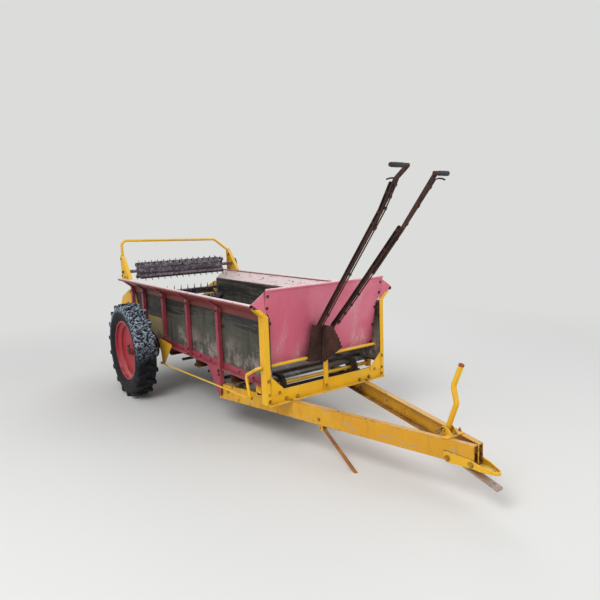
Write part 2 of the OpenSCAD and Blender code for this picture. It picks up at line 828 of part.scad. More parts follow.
module upper_beater() {
    beater(upper_x, upper_z, upper_r, 4, 112, 46, 8, flare_clear_y + 12, leg_web_y + 20);
    color(RUST) at_machine() sprocket([-upper_x, upper_z], beater_sprocket_r, flare_clear_y);
}

module wide_spread_rotor() {
    twist = 30;
    half_w = 36;
    color(RUST) at_machine() {
        translate([-spread_x, 0, spread_z]) {
            bar_y(0, 0, -side_y, drive_y + 12, rotor_d);
            for (i = [0:7]) for (s = [-1, 1]) on_side(s) translate([0, 40 + i * 62, 0])
                rotate([0, 45 * i + 20, 0]) rotate([twist, 0, 0]) translate([0, -4, -half_w])
                    cube([sqrt(spread_r ^ 2 - half_w ^ 2), 8, 2 * half_w]);
        }
        sprocket([-spread_x, spread_z], beater_sprocket_r, drive_y);
    }
}

// Controls

module quadrant() {
    t = 8;
    c = [-cross_x, cross_z];
    notch = 10;
    step = 1.5;
    stop_d = 16;
    stop = c + [167, 94];
    color(RUST) at_machine() difference() {
        union() {
            upright(concat(
                [c + [-20, -36], c + [86, -36], c + [300, 117]],
                [for (i = [0:23]) let (a = 22 + i * step)
                    c + (quadrant_r - (i % 4 < 2 ? 0 : notch)) * [cos(a), sin(a)]],
                [c + [78, 272], c + [-30, 60]]
            ), quadrant_y - t / 2, t);
            bar_y(stop.x, stop.y, quadrant_y, quadrant_y + 65, stop_d);
        }
        bar_y(-cross_x, cross_z, quadrant_y - t, quadrant_y + t, cross_d + 2 * run_fit);
    }
}

// Bent hand lever that turns on the cross shaft: a lower channel, an upper bar beside it, and a grip out to
// one side. Their points count in lever_h from the cross shaft.
module lever(y, lower, upper, grip, hub_out, hub_in) {
    c = [-cross_x, cross_z];
    low = [for (q = lower) c + lever_h * q];
    high = [for (q = upper) c + lever_h * q];
    top = high[len(high) - 1];
    bar = [lever_w - 4, 12];
    wall = 6;
    color(RUST) at_machine() difference() {
        union() {
            difference() {
                upright(strip(low, lever_w), y - lever_t / 2, lever_t);
                upright(strip([low[1], low[2], low[3] + (low[3] - low[2]) * 0.5], lever_w - 2 * wall),
                    y - lever_t / 2 - 1, lever_t - wall + 1);
            }
            upright(strip(high, bar.x), y + lever_t / 2, bar.y);
            bar_y(c.x, c.y, y - hub_out, y + hub_in, cross_d + 22);
            bar_y(top.x, top.y, min(y, y + grip), max(y + lever_t / 2 + bar.y, y + grip), 28);
            children();
        }
        bar_y(c.x, c.y, y - hub_out - 1, y + hub_in + 1, cross_d + 2 * run_fit);
    }
}

// Folded foot of the right lever, open to the rear: outline across, then its depth along the machine
module lever_foot(in) {
    y = lever_right_y;
    z = [cross_z - 25 - in, cross_z + 277 + in];
    x = -cross_x;
    intersection() {
        crosswise([
            [y - 72 + in, z[0]], [y + 32 - in, z[0]], [y + 32 - in, z[1]], [y - 42 + in, z[1]]
        ], x - 60, 160);
        upright([
            [x - 5 - 2 * in, z[0]], [x + 55 - in, z[0]], [x + 77 - in, z[1]], [x + 40 - 2 * in, z[1]]
        ], y - 90, 160);
    }
}

module lever_right() {
    lever(lever_right_y,
        [[0, 0], [0.0442, 0.1747], [0.5614, 0.8112], [0.6351, 0.9312]],
        [[0.4877, 0.7207], [0.6477, 0.9467], [0.7228, 1]], -140, 72, 32)
        difference() {
            lever_foot(0);
            lever_foot(5);
        }
}

module lever_left() {
    lever(lever_left_y,
        [[0, 0], [0.0723, 0.1818], [0.2316, 0.3418], [0.6, 0.7277]],
        [[0.393, 0.4947], [0.6, 0.7158], [0.8049, 0.96]], 120, 22, 22);
}

crank_y = side_y + 42;
crank_bend = [-235, 595];
crank_pin = [-195, 430];
bell_pin = [-stake_x[2], 575];
bell_eye = bell_pin + [51, -219];

// Its right end is bent down into a crank, with a pin that carries the drive rod
module cross_shaft() {
    foot = unit(crank_pin - crank_bend) * 14;
    color(YELLOW) at_machine() {
        pipe([
            [-cross_x, side_y + 18, cross_z], [-cross_x, -crank_y, cross_z],
            [crank_bend.x, -crank_y, crank_bend.y], [crank_pin.x + foot.x, -crank_y, crank_pin.y + foot.y]
        ], 34, cross_d);
        bar_y(crank_pin.x, crank_pin.y, rod_y - 9, -crank_y, rod_pin_d);
        bar_y(crank_pin.x, crank_pin.y, rod_y - 13, rod_y - 8, rod_pin_d + 10);
    }
}

rod_y = -crank_y - 26;
rod_eye_d = 26;
rod_pin_d = 12;

module drive_rod() {
    d = 14;
    color(YELLOW) at_machine() difference() {
        union() {
            pipe([[crank_pin.x, rod_y, crank_pin.y], [bell_eye.x, rod_y, bell_eye.y]], 30, d);
            for (q = [crank_pin, bell_eye]) bar_y(q.x, q.y, rod_y - d / 2, rod_y + d / 2 + 5, rod_eye_d);
        }
        for (q = [crank_pin, bell_eye]) bar_y(q.x, q.y, rod_y - d, rod_y + d, rod_pin_d + 2 * run_fit);
    }
}

module bell_crank() {
    y = -crank_y - 6;
    color(YELLOW) at_machine() {
        upright([bell_pin + [-24, 20], bell_eye + [-18, -16], bell_eye + [18, -16], bell_pin + [290, -12],
            bell_pin + [290, 14], bell_pin + [0, 30]], y, 8);
        bar_y(bell_pin.x, bell_pin.y, y + 8, -side_y - 0.3, 24);
    }
}

// Stands

stand_pin_z = stand_z + 16;
cheek_in = 26;

module stand_bracket() {
    t = 6;
    fore = stand_x + 26;
    back_y = arm_at(fore) - arm_t / cos(arm_angle);
    fore_y = arm_at(fore + 44) - arm_t / cos(arm_angle);
    color(YELLOW) at_machine() difference() {
        union() {
            translate([0, 0, sill_z]) linear_extrude(t)
                polygon([[fore, -back_y], [fore + 44, -fore_y], [fore + 44, fore_y], [fore, back_y]]);
            for (s = [-1, 1]) on_side(s) {
                upright([
                    [fore, sill_z + t], [fore + 40, sill_z + t], [stand_x + 20, stand_pin_z + 20],
                    [stand_x - 20, stand_pin_z + 20], [stand_x - 20, stand_pin_z - 18]
                ], cheek_in, t);
            }
        }
        bar_y(stand_x, stand_pin_z, -cheek_in - t - 1, cheek_in + t + 1, 16 + 2 * run_fit);
    }
}

module tongue_stand() {
    bends = [[71, 0, 0.39 * stand_l], [46, 0, 0.617 * stand_l]];
    color(YELLOW) at_machine() translate([stand_x, 0, stand_pin_z]) {
        bar_y(0, 0, -cheek_in - 12, cheek_in + 12, 16);
        pipe([[-6, 0, -20], bends[0], bends[1], [106, 0, stand_l - 33]], 60, stand_d);
    }
}

leg_cheek = 16;

module leg_bracket() {
    t = 6;
    color(YELLOW) at_machine() difference() {
        union() {
            translate([leg_x - 30, -leg_y - 30, sill_z - arm_h - t]) cube([60, 60, t]);
            for (s = [-1, 1]) translate([leg_x - 22, -leg_y - t / 2 + s * (leg_cheek + t / 2), leg_z - 16])
                cube([44, t, sill_z - arm_h - leg_z + 16]);
        }
        bar_y(leg_x, leg_z, -leg_y - 40, -leg_y + 40, 14 + 2 * run_fit);
    }
}

module parking_leg() {
    foot = 13;
    v = unit([leg_reach, 0, foot - leg_z]);
    color(YELLOW) at_machine() difference() {
        union() {
            bar_y(leg_x, leg_z, -leg_y - leg_cheek - 10, -leg_y + leg_cheek + 10, 14);
            pipe([[leg_x, -leg_y, leg_z] - v * 12, [leg_x + leg_reach, -leg_y, foot] + v * 40], 30, leg_d);
        }
        translate([leg_x + leg_reach - 100, -leg_y - 40, -100]) cube([200, 80, 100]);
    }
}

module drawbar_arm_right() { drawbar_arm(-1); }
module drawbar_arm_left() { drawbar_arm(1); }
module front_post_right() { front_post(-1); }
module front_post_left() { front_post(1); }
module panel_wing_right() { panel_wing(-1); }
module panel_wing_left() { panel_wing(1); }
module side_board_right() { side_board(-1); }
module side_board_left() { side_board(1); }
module bottom_rail_right() { bottom_rail(-1); }
module bottom_rail_left() { bottom_rail(1); }
module side_stakes_right() { side_stakes(-1); }
module side_stakes_left() { side_stakes(1); }
module flareboard_right() { flareboard(-1); }
module flareboard_left() { flareboard(1); }
module rear_plate_right() { rear_plate(-1); }
module rear_plate_left() { rear_plate(1); }
module hoop_leg_right() { hoop_leg(-1); }
module hoop_leg_left() { hoop_leg(1); }
module wheel_rim_right() { wheel_rim(-1); }
module wheel_rim_left() { wheel_rim(1); }
module tyre_right() { tyre(-1); }
module tyre_left() { tyre(1); }

drawbar_arm_right();
drawbar_arm_left();
hitch_nose();
hitch_strap();
front_sill();
front_post_right();
front_post_left();
front_panel();
panel_wing_right();
panel_wing_left();
floor_boards();
cross_members();
side_board_right();
side_board_left();
bottom_rail_right();
bottom_rail_left();
side_stakes_right();
side_stakes_left();
flareboard_right();
flareboard_left();
rear_plate_right();
rear_plate_left();
hoop();
hoop_leg_right();
hoop_leg_left();
axle_hangers();
axle_shaft();
wheel_rim_right();
wheel_rim_left();
tyre_right();
tyre_left();
apron();
apron_front_shaft();
apron_rear_shaft();
apron_bearings();
main_beater();
upper_beater();
wide_spread_rotor();
drive_chains();
axle_side_plates();
quadrant();
centre_post();
lever_right();
lever_left();
cross_shaft();
drive_rod();
bell_crank();
tongue_stand();
stand_bracket();
parking_leg();
leg_bracket();
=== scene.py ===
"""Dresses a ground-driven manure spreader: weathered finishes, fasteners, chains, beaters, welds and trim."""

import json
import logging
import math
from dataclasses import dataclass, field
from enum import Enum
from typing import ClassVar

import bmesh
import bpy
from mathutils import Matrix, Vector


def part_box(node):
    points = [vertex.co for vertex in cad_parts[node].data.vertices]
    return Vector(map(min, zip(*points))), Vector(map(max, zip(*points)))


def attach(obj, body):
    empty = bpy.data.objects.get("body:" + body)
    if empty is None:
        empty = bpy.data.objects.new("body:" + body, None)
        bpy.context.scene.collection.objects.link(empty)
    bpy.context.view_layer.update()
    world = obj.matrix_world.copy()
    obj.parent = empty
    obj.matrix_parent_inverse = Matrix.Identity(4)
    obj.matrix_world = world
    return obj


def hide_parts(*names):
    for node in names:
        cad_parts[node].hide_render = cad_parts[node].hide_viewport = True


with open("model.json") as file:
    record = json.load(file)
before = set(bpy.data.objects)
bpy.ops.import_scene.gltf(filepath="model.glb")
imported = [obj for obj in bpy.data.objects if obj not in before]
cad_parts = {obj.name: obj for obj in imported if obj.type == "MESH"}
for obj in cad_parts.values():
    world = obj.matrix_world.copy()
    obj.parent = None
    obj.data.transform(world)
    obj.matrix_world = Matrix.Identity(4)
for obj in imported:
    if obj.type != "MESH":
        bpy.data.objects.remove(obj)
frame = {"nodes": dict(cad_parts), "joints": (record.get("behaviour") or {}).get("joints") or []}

log = logging.getLogger("spreader")
Point = tuple[float, float, float]
Pair = tuple[float, float]
Socket = bpy.types.NodeSocket
Tree = bpy.types.NodeTree
Draft = bmesh.types.BMesh

# Distance of the box's front face ahead of the middle of the machine
DATUM = 0.9975
MM = 0.001


class Side(Enum):
    """A side of the machine, and its sign along Y."""

    RIGHT = -1
    LEFT = 1

    def node(self, name: str) -> str:
        """Name of a node or body of this side."""
        return f"{name}_{self.name.lower()}"

    def mirror(self, point: Point) -> Point:
        """A point or direction given for the left side, on this one."""
        return (point[0], point[1] * self.value, point[2])


def at(x: float, y: float, z: float) -> Vector:
    """Point of the frame from millimetres ahead of the box, left of the centre line and above the ground."""
    return Vector((x * MM + DATUM, y * MM, z * MM))


def linear(colour: str) -> tuple[float, float, float, float]:
    """Linear RGBA of an sRGB hex colour.

    Args:
        colour: six hex digits after a hash.

    Returns:
        Red, green, blue and alpha as Blender's sockets take them.
    """
    parts = [int(colour[i : i + 2], 16) / 255 for i in (1, 3, 5)]
    return (*[c / 12.92 if c <= 0.04045 else ((c + 0.055) / 1.055) ** 2.4 for c in parts], 1.0)


def add(tree: Tree, kind: str, inputs: dict | None = None, out: int | str = 0,
        **settings: object) -> Socket:
    """Adds a node with its settings and links.

    Args:
        tree: the tree that takes the node.
        kind: Blender's type name of the node.
        inputs: for each input's name or index, the value it holds, or the socket or list of sockets it takes.
        out: name or index of the wanted output.
        settings: attributes of the node.

    Returns:
        The wanted output, or the first input of a node that has none.
    """
    made = tree.nodes.new(kind)
    for key, value in settings.items():
        setattr(made, key, value)
    for key, value in (inputs or {}).items():
        for one in value if isinstance(value, list) else [value]:
            if isinstance(one, Socket):
                tree.links.new(one, made.inputs[key])
            else:
                made.inputs[key].default_value = one
    return made.outputs[out] if made.outputs else made.inputs[0]


# Finishes


@dataclass(frozen=True)
class Finish:
    """A finish with a name; each kind draws its own nodes.

    Args:
        name: the material's name.
    """

    name: str

    def draw(self, tree: Tree, shader: bpy.types.Node) -> None:
        """Draws the finish into the shader's sockets.

        Args:
            tree: the material's tree.
            shader: its surface shader.
        """
        raise NotImplementedError

    def material(self) -> bpy.types.Material:
        """The finish's material, made on its first use.

        Returns:
            The one material of this name.
        """
        made = bpy.data.materials.get(self.name)
        if made is None:
            made = bpy.data.materials.new(self.name)
            made.use_nodes = True
            self.draw(made.node_tree, made.node_tree.nodes["Principled BSDF"])
        return made

    def patches(self, tree: Tree, scale: Point, low: float, high: float, detail: float = 5.0,
                rough: float = 0.58, turn: Point = (0, 0, 0)) -> Socket:
        """Share of the face that irregular patches cover.

        Args:
            tree: the material's tree.
            scale: patches in a metre along each axis of the piece.
            low: value of the noise where a patch starts.
            high: value of the noise where it is whole.
            detail: steps of finer and finer noise.
            rough: strength of each finer step.
            turn: turn of the pattern.

        Returns:
            A value from 0 to 1.
        """
        place = add(tree, "ShaderNodeTexCoord", out="Object")
        mapped = add(tree, "ShaderNodeMapping", {"Vector": place, "Rotation": turn, "Scale": scale})
        value = add(tree, "ShaderNodeTexNoise", {"Vector": mapped, "Scale": 1.0, "Detail": detail,
                                                 "Roughness": rough})
        return add(tree, "ShaderNodeMapRange", {"Value": value, "From Min": low, "From Max": high},
                   interpolation_type="SMOOTHSTEP")

    def both(self, tree: Tree, one: Socket, other: Socket, strength: float = 1.0) -> Socket:
        """Share of the face where two patterns meet, at a strength."""
        meet = add(tree, "ShaderNodeMath", {0: one, 1: other}, operation="MULTIPLY")
        return add(tree, "ShaderNodeMath", {0: meet, 1: strength}, operation="MULTIPLY", use_clamp=True)

    def tint(self, tree: Tree, under: Socket | str, over: Socket | str, share: Socket,
             strength: float = 1.0) -> Socket:
        """Colour with another colour over it.

        Args:
            tree: the material's tree.
            under: the lower colour, as a socket or in hex.
            over: the upper colour.
            share: share of the face that it covers.
            strength: how much of the lower colour it hides there.

        Returns:
            The mixed colour.
        """
        colours = [linear(colour) if isinstance(colour, str) else colour for colour in (under, over)]
        amount = add(tree, "ShaderNodeMath", {0: share, 1: strength}, operation="MULTIPLY", use_clamp=True)
        return add(tree, "ShaderNodeMix", {0: amount, 6: colours[0], 7: colours[1]}, 2, data_type="RGBA")

    def surface(self, tree: Tree, shader: bpy.types.Node, colour: Socket, dull: Socket,
                rough: Pair, height: Socket, depth_mm: float, edge_mm: float = 1.5) -> None:
        """Joins colour, roughness and relief to the shader, with edges that look rounded.

        Args:
            tree: the material's tree.
            shader: its surface shader.
            colour: the face's colour.
            dull: share of the face that is dull.
            rough: roughness where it isn't and where it is.
            height: relief, from 0 to 1.
            depth_mm: what the relief amounts to.
            edge_mm: radius of the edges.
        """
        roughness = add(tree, "ShaderNodeMix", {0: dull, 2: rough[0], 3: rough[1]})
        rounded = add(tree, "ShaderNodeBevel", {"Radius": edge_mm * MM}, samples=4)
        relief = add(tree, "ShaderNodeBump", {"Height": height, "Strength": 0.55, "Distance": depth_mm * MM,
                                              "Normal": rounded})
        for socket, name in ((colour, "Base Color"), (roughness, "Roughness"), (relief, "Normal")):
            tree.links.new(socket, shader.inputs[name])


@dataclass(frozen=True)
class Enamel(Finish):
    """Machinery enamel sprayed on steel, left outdoors: chalky towards the sky and lighter there by painted
    highlight, chipped and rusted at edges, with rusty grime and painted shade in its hollows.

    Args:
        colour: the enamel where it is sheltered.
        faded: the enamel where the sun has turned it.
        up: the enamel on faces that look up, partly sun-bleached and partly painted highlight.
        chips: share of the face that has chipped off, 0 to 1.
        edge: how much of each edge has rusted, 0 to 1.
        dirt: strength of the streaks of grime, and of the rusty grime and painted shade in hollows.
        gloss: roughness where the enamel is whole.
        scuff: strength of the pale scuffs down to the primer.
        scratch: strength of long pale scratches down the sheet.
        bleach: share of the faces that look up which turn lighter, sun-bleached and painted highlight, 0 to
            1.
    """

    colour: str
    faded: str
    up: str
    chips: float = 0.25
    edge: float = 0.5
    dirt: float = 0.5
    gloss: float = 0.42
    scuff: float = 0.0
    scratch: float = 0.0
    bleach: float = 0.5

    def draw(self, tree: Tree, shader: bpy.types.Node) -> None:
        """Draws weathered enamel, what lies on it, and chips with rust in them.

        Args:
            tree: the material's tree.
            shader: its surface shader.
        """
        # Grains of grime and the pits of rust are 6 mm across
        fine = self.patches(tree, (170, 170, 170), 0.36, 0.68, 4, 0.7)
        coat = self.rubbed(tree, self.dirty(tree, self.weathered(tree), fine))
        wear, limit = self.wear(tree), 1.86 - 0.5 * self.chips
        rust = add(tree, "ShaderNodeMapRange", {"Value": wear, "From Min": limit, "From Max": limit + 0.05},
                   interpolation_type="SMOOTHSTEP")
        halo = add(tree, "ShaderNodeMapRange", {"Value": wear, "From Min": limit - 0.12,
                                                "From Max": limit + 0.03})
        coat = self.tint(tree, coat, "#a2622c", halo, 0.5)
        coat = self.tint(tree, coat, self.tint(tree, "#4a2415", "#8a4a26", fine), rust)
        height = add(tree, "ShaderNodeMath", {0: rust, 1: -0.7, 2: fine}, operation="MULTIPLY_ADD")
        self.surface(tree, shader, coat, rust, (self.gloss, 0.88), height, 0.9)

    def weathered(self, tree: Tree) -> Socket:
        """The enamel, faded by the sun, and lighter where it looks up: partly sun-bleached, partly painted
        highlight.

        Args:
            tree: the material's tree.

        Returns:
            Its colour.
        """
        # The sun fades it in areas about 0.4 m across, and rain washes the top in streaks across the sheet;
        # faces that look up turn lighter, partly sun-bleaching and partly painted highlight
        broad = self.patches(tree, (2.4, 2.4, 2.4), 0.36, 0.66, 3)
        facing = add(tree, "ShaderNodeSeparateXYZ", {0: add(tree, "ShaderNodeTexCoord", out="Normal")}, "Z")
        sky = add(tree, "ShaderNodeMapRange", {"Value": facing, "From Min": 0.1, "From Max": 0.75})
        start = 0.49 - 0.3 * self.bleach
        washed_and_lit = self.patches(tree, (9, 30, 3.5), start, start + 0.26, 5, 0.62)
        coat = self.tint(tree, self.colour, self.faded, broad)
        # Lighter colour on faces that look up: painted highlight as well as sun-bleaching
        return self.tint(tree, coat, self.up, self.both(tree, sky, washed_and_lit), 0.92)

    def dirty(self, tree: Tree, coat: Socket, fine: Socket) -> Socket:
        """The coat under grime, with painted shade where it is occluded.

        Args:
            tree: the material's tree.
            coat: its colour.
            fine: a pattern as fine as the grains.

        Returns:
            Its colour with the grime and the painted shade on it.
        """
        # Streaks run down the sheet, up to 45 mm wide and a quarter metre long
        streak = self.patches(tree, (22, 22, 4.0), 0.5, 0.8, 6, 0.7)
        coat = self.tint(tree, coat, "#5a4630", streak, 0.45 * self.dirt)
        coat = self.tint(tree, coat, "#3d3226", fine, 0.2 * self.dirt)
        # Rusty grime stays where rain and hands don't reach, such as in channels and behind posts; this
        # darkening follows ambient occlusion and is painted shade as well as grime
        open_to = add(tree, "ShaderNodeAmbientOcclusion", {"Distance": 0.14}, "AO", samples=8)
        closed = add(tree, "ShaderNodeMapRange", {"Value": open_to, "From Min": 0.85, "From Max": 0.42})
        hollow_dirt_and_shade = self.both(tree, closed, self.patches(tree, (13, 13, 9), 0.25, 0.6, 6, 0.7))
        # Darker brown in occluded places: rusty grime and painted shade
        return self.tint(tree, coat, self.tint(tree, "#6b3a16", "#33231a", fine), hollow_dirt_and_shade, 1.1 * self.dirt)

    def rubbed(self, tree: Tree, coat: Socket) -> Socket:
        """The coat with its scratches and scuffs, where it has any.

        Args:
            tree: the material's tree.
            coat: its colour.

        Returns:
            Its colour with them.
        """
        if self.scratch:
            # Scratches up to 10 mm wide and half a metre long, bunched where something rubbed
            lines = self.patches(tree, (95, 95, 1.7), 0.52, 0.7, 3, 0.65)
            bunch = self.patches(tree, (1.0, 3.6, 1.3), 0.5, 0.66, 2)
            coat = self.tint(tree, coat, "#d9c3c4", self.both(tree, lines, bunch), self.scratch)
            coat = self.tint(tree, coat, "#dcb3b6", bunch, 0.25 * self.scratch)
        if self.scuff:
            # Scuffs up to 0.2 m long, along the metal
            scuffed = self.patches(tree, (5, 16, 22), 0.565, 0.63, 8, 0.76)
            coat = self.tint(tree, coat, "#a79f8d", scuffed, self.scuff)
        return coat

    def wear(self, tree: Tree) -> Socket:
        """How near each place is to chipping: edges first, then where two patterns are both high.

        Args:
            tree: the material's tree.

        Returns:
            A value from 0 to nearly 3.
        """
        # An edge is where the rounded normal turns away from the face's own
        own = add(tree, "ShaderNodeNewGeometry", out="Normal")
        worn = add(tree, "ShaderNodeBevel", {"Radius": 0.006}, samples=4)
        same = add(tree, "ShaderNodeVectorMath", {0: own, 1: worn}, "Value", operation="DOT_PRODUCT")
        edge = add(tree, "ShaderNodeMapRange", {"Value": same, "From Min": 0.985, "From Max": 0.8})
        # Chips are up to 30 mm across, and bunched in places of about 0.12 m
        patch = self.patches(tree, (34, 34, 34), 0.2, 0.8, 6, 0.66)
        spot = self.patches(tree, (8, 8, 6), 0.25, 0.75, 6, 0.7)
        both = add(tree, "ShaderNodeMath", {0: patch, 1: spot}, operation="ADD")
        return add(tree, "ShaderNodeMath", {0: edge, 1: 0.75 * self.edge, 2: both}, operation="MULTIPLY_ADD")


@dataclass(frozen=True)
class Rust(Finish):
    """Bare rolled steel that has rusted through its scale: dark brown with lighter bloom, dull.

    Args:
        dark: the old, hard rust.
        bloom: the newer rust over it.
        left: what is left of a coat of paint.
        paint: share of the face that still has paint, 0 to 1.
        rough: roughness of the rust.
    """

    dark: str = "#38201a"
    bloom: str = "#6b3d2a"
    left: str = "#7a3a34"
    paint: float = 0.2
    rough: float = 0.8

    def draw(self, tree: Tree, shader: bpy.types.Node) -> None:
        """Draws dark rust, its bloom, pits 2 to 8 mm across, and remains of paint.

        Args:
            tree: the material's tree.
            shader: its surface shader.
        """
        broad = self.patches(tree, (7, 7, 7), 0.4, 0.62, 6, 0.66)
        fine = self.patches(tree, (130, 130, 130), 0.35, 0.68, 5, 0.7)
        pits = self.patches(tree, (420, 420, 420), 0.5, 0.7, 2)
        coat = self.tint(tree, self.dark, self.bloom, self.both(tree, broad, fine, 1.4))
        low = 0.68 - 0.3 * self.paint
        kept = self.patches(tree, (34, 34, 34), low, low + 0.07, 8, 0.74)
        coat = self.tint(tree, coat, self.left, kept, 0.7)
        coat = self.tint(tree, coat, "#170f0c", pits, 0.4)
        height = add(tree, "ShaderNodeMath", {0: fine, 1: pits}, operation="ADD")
        self.surface(tree, shader, coat, kept, (self.rough, self.rough - 0.2), height, 1.4)


@dataclass(frozen=True)
class BareSteel(Finish):
    """Steel kept bright by rubbing, with brown stain in its low places.

    Args:
        metal: the rubbed metal.
        stain: the stain.
        share: share of the face that is stained, 0 to 1.
    """

    metal: str = "#8d867c"
    stain: str = "#5b3b2a"
    share: float = 0.5

    def draw(self, tree: Tree, shader: bpy.types.Node) -> None:
        """Draws worn metal and stains up to 45 mm across.

        Args:
            tree: the material's tree.
            shader: its surface shader.
        """
        low = 0.62 - 0.3 * self.share
        stain = self.patches(tree, (22, 22, 22), low, low + 0.1, 6, 0.68)
        fine = self.patches(tree, (200, 200, 200), 0.3, 0.7, 3)
        coat = self.tint(tree, self.stain, "#2c1c15", fine)
        bright = add(tree, "ShaderNodeMath", {0: stain, 1: -0.9, 2: 0.9}, operation="MULTIPLY_ADD")
        tree.links.new(bright, shader.inputs["Metallic"])
        coat = self.tint(tree, self.metal, coat, stain)
        self.surface(tree, shader, coat, stain, (0.38, 0.85), fine, 0.6, 1.0)


@dataclass(frozen=True)
class Plywood(Finish):
    """Plywood that has lost most of its black resin facing: grey-green furred grain along the board; the
    facing left high up is partly painted shadow of the flare.

    Args:
        film: share of the face that still has its resin facing, which high up is also painted shadow of the
            flare, 0 to 1.
        pale: the bleached veneer.
        deep: the veneer's darker grain.
        wet: how dark and glossy it is, 0 to 1.
    """

    film: float = 0.35
    pale: str = "#767263"
    deep: str = "#48453a"
    wet: float = 0.0

    def draw(self, tree: Tree, shader: bpy.types.Node) -> None:
        """Draws bleached veneer, its grain, stains, pale blotches, what is left of the resin facing, and
        painted shadow of the flare high up.

        Args:
            tree: the material's tree.
            shader: its surface shader.
        """
        # Grain lines lie about 6 mm apart and run for a third of a metre
        grain = self.patches(tree, (3.5, 60, 170), 0.28, 0.72, 7, 0.72)
        stain = self.patches(tree, (9, 9, 1.2), 0.42, 0.68, 7, 0.7)
        moss = self.patches(tree, (2.5, 4, 5), 0.3, 0.74, 5, 0.66)
        height = add(tree, "ShaderNodeSeparateXYZ", {0: add(tree, "ShaderNodeTexCoord", out="Object")}, "Z")
        low = add(tree, "ShaderNodeMapRange", {"Value": height, "From Min": 0.86, "From Max": 0.66})
        coat = self.tint(tree, self.deep, self.pale, grain, 0.8)
        coat = self.tint(tree, coat, "#4d5040", moss, 0.6)
        coat = self.tint(tree, coat, "#272520", stain, 0.62)
        bleached = self.patches(tree, (3.4, 8, 2.6), 0.47, 0.62, 8, 0.78)
        coat = self.tint(tree, coat, "#b5a39c", self.both(tree, bleached, low, 0.6))
        # The resin facing is kept high up, in the shade of the flare, where its dark colour is also painted
        # shadow of the flare; it tears along slanting lines
        torn = self.patches(tree, (1.2, 4, 7), 0.24, 0.76, 9, 0.66, (0, -0.35, 0))
        cover = add(tree, "ShaderNodeMath", {0: torn, 1: 0.32, 2: height}, operation="MULTIPLY_ADD")
        limit = 1.25 - 0.4 * self.film
        film = add(tree, "ShaderNodeMapRange", {"Value": cover, "From Min": limit, "From Max": limit + 0.014})
        layers = self.patches(tree, (1.6, 30, 34), 0.5, 0.66, 7, 0.72, (0, -0.3, 0))
        # Dark resin facing high up on the boards, partly painted shadow of the flare
        coat = self.tint(tree, coat, self.tint(tree, "#141310", "#62645a", layers, 0.85), film, 0.95)
        dark = add(tree, "ShaderNodeMath", {0: grain, 1: 0.15 * self.wet, 2: 0.4 * self.wet},
                   operation="MULTIPLY_ADD")
        coat = self.tint(tree, coat, "#100e0b", dark)
        height = add(tree, "ShaderNodeMath", {0: film, 1: 0.6, 2: grain}, operation="MULTIPLY_ADD")
        self.surface(tree, shader, coat, film, (0.88 - 0.4 * self.wet, 0.55), height, 1.5)


@dataclass(frozen=True)
class TyreRubber(Finish):
    """Old tyre rubber: bluish black and dull, with a pale crust of lichen on its upper tread.

    Args:
        middle: middle of the wheel.
        tread: radius at which the tread starts, in metres.
    """

    middle: Point = (0.0, 0.0, 0.0)
    tread: float = 0.4

    def draw(self, tree: Tree, shader: bpy.types.Node) -> None:
        """Draws rubber, dust and lichen.

        Args:
            tree: the material's tree.
            shader: its surface shader.
        """
        place = add(tree, "ShaderNodeTexCoord", out="Object")
        out = add(tree, "ShaderNodeVectorMath", {0: place, 1: self.middle}, operation="SUBTRACT")
        flat = add(tree, "ShaderNodeVectorMath", {0: out, 1: (1, 0, 1)}, operation="MULTIPLY")
        radius = add(tree, "ShaderNodeVectorMath", {0: flat}, "Value", operation="LENGTH")
        height = add(tree, "ShaderNodeSeparateXYZ", {0: out}, "Z")
        fine = self.patches(tree, (260, 260, 260), 0.3, 0.7, 3)
        coat = self.tint(tree, "#0b0d12", "#1a1d25", self.patches(tree, (14, 14, 14), 0.35, 0.7, 4))
        low = add(tree, "ShaderNodeMapRange", {"Value": height, "From Min": -0.1, "From Max": -0.46})
        coat = self.tint(tree, coat, "#575046", self.both(tree, low, fine), 0.15)
        on_tread = add(tree, "ShaderNodeMapRange", {"Value": radius, "From Min": self.tread,
                                                    "From Max": self.tread + 0.03})
        upper = add(tree, "ShaderNodeMapRange", {"Value": height, "From Min": -0.05, "From Max": 0.16})
        # Flecks of lichen are 10 to 30 mm long and thin out towards the ground
        flecks = self.patches(tree, (48, 36, 48), 0.5, 0.53, 8, 0.76)
        lichen = self.both(tree, flecks, self.both(tree, on_tread, upper), 0.9)
        coat = self.tint(tree, coat, self.tint(tree, "#7a8fa4", "#cad6df", fine), lichen)
        height = add(tree, "ShaderNodeMath", {0: fine, 1: 0.3, 2: lichen}, operation="MULTIPLY_ADD")
        self.surface(tree, shader, coat, lichen, (0.72, 0.95), height, 0.9, 3.0)
        # Oxidised rubber reflects less than fresh rubber
        shader.inputs["Specular IOR Level"].default_value = 0.25


YELLOW = Enamel("yellow_machinery_enamel", "#f0b408", "#f8c110", "#e8c668", chips=0.25, edge=0.7, dirt=0.4)
ARM_YELLOW = Enamel("yellow_enamel_worn", "#e2a00a", "#ecb010", "#d4ac6c", chips=0.65, edge=1.1, dirt=0.85,
                    scuff=0.8)
RED = Enamel("red_machinery_enamel", "#9c3246", "#aa4054", "#c27a84", chips=0.3, edge=0.5, dirt=0.45,
             scuff=0.4)
# The flare's and the panel's near-white colour on faces that look up is partly sun-bleaching, partly painted
# highlight
FLARE = Enamel("red_enamel_bleached", "#7e2a27", "#923730", "#f4e2e1", chips=0.35, edge=0.5, dirt=0.5,
               bleach=0.9)
PANEL = Enamel("raspberry_enamel_bleached", "#d8647e", "#de798f", "#ecc8ca", chips=0.1, edge=0.4, dirt=0.35,
               gloss=0.4, scratch=1.0, bleach=0.8)
RIM = Enamel("red_rim_enamel", "#ab2431", "#b43341", "#c46c72", chips=0.2, edge=0.4, dirt=0.5)
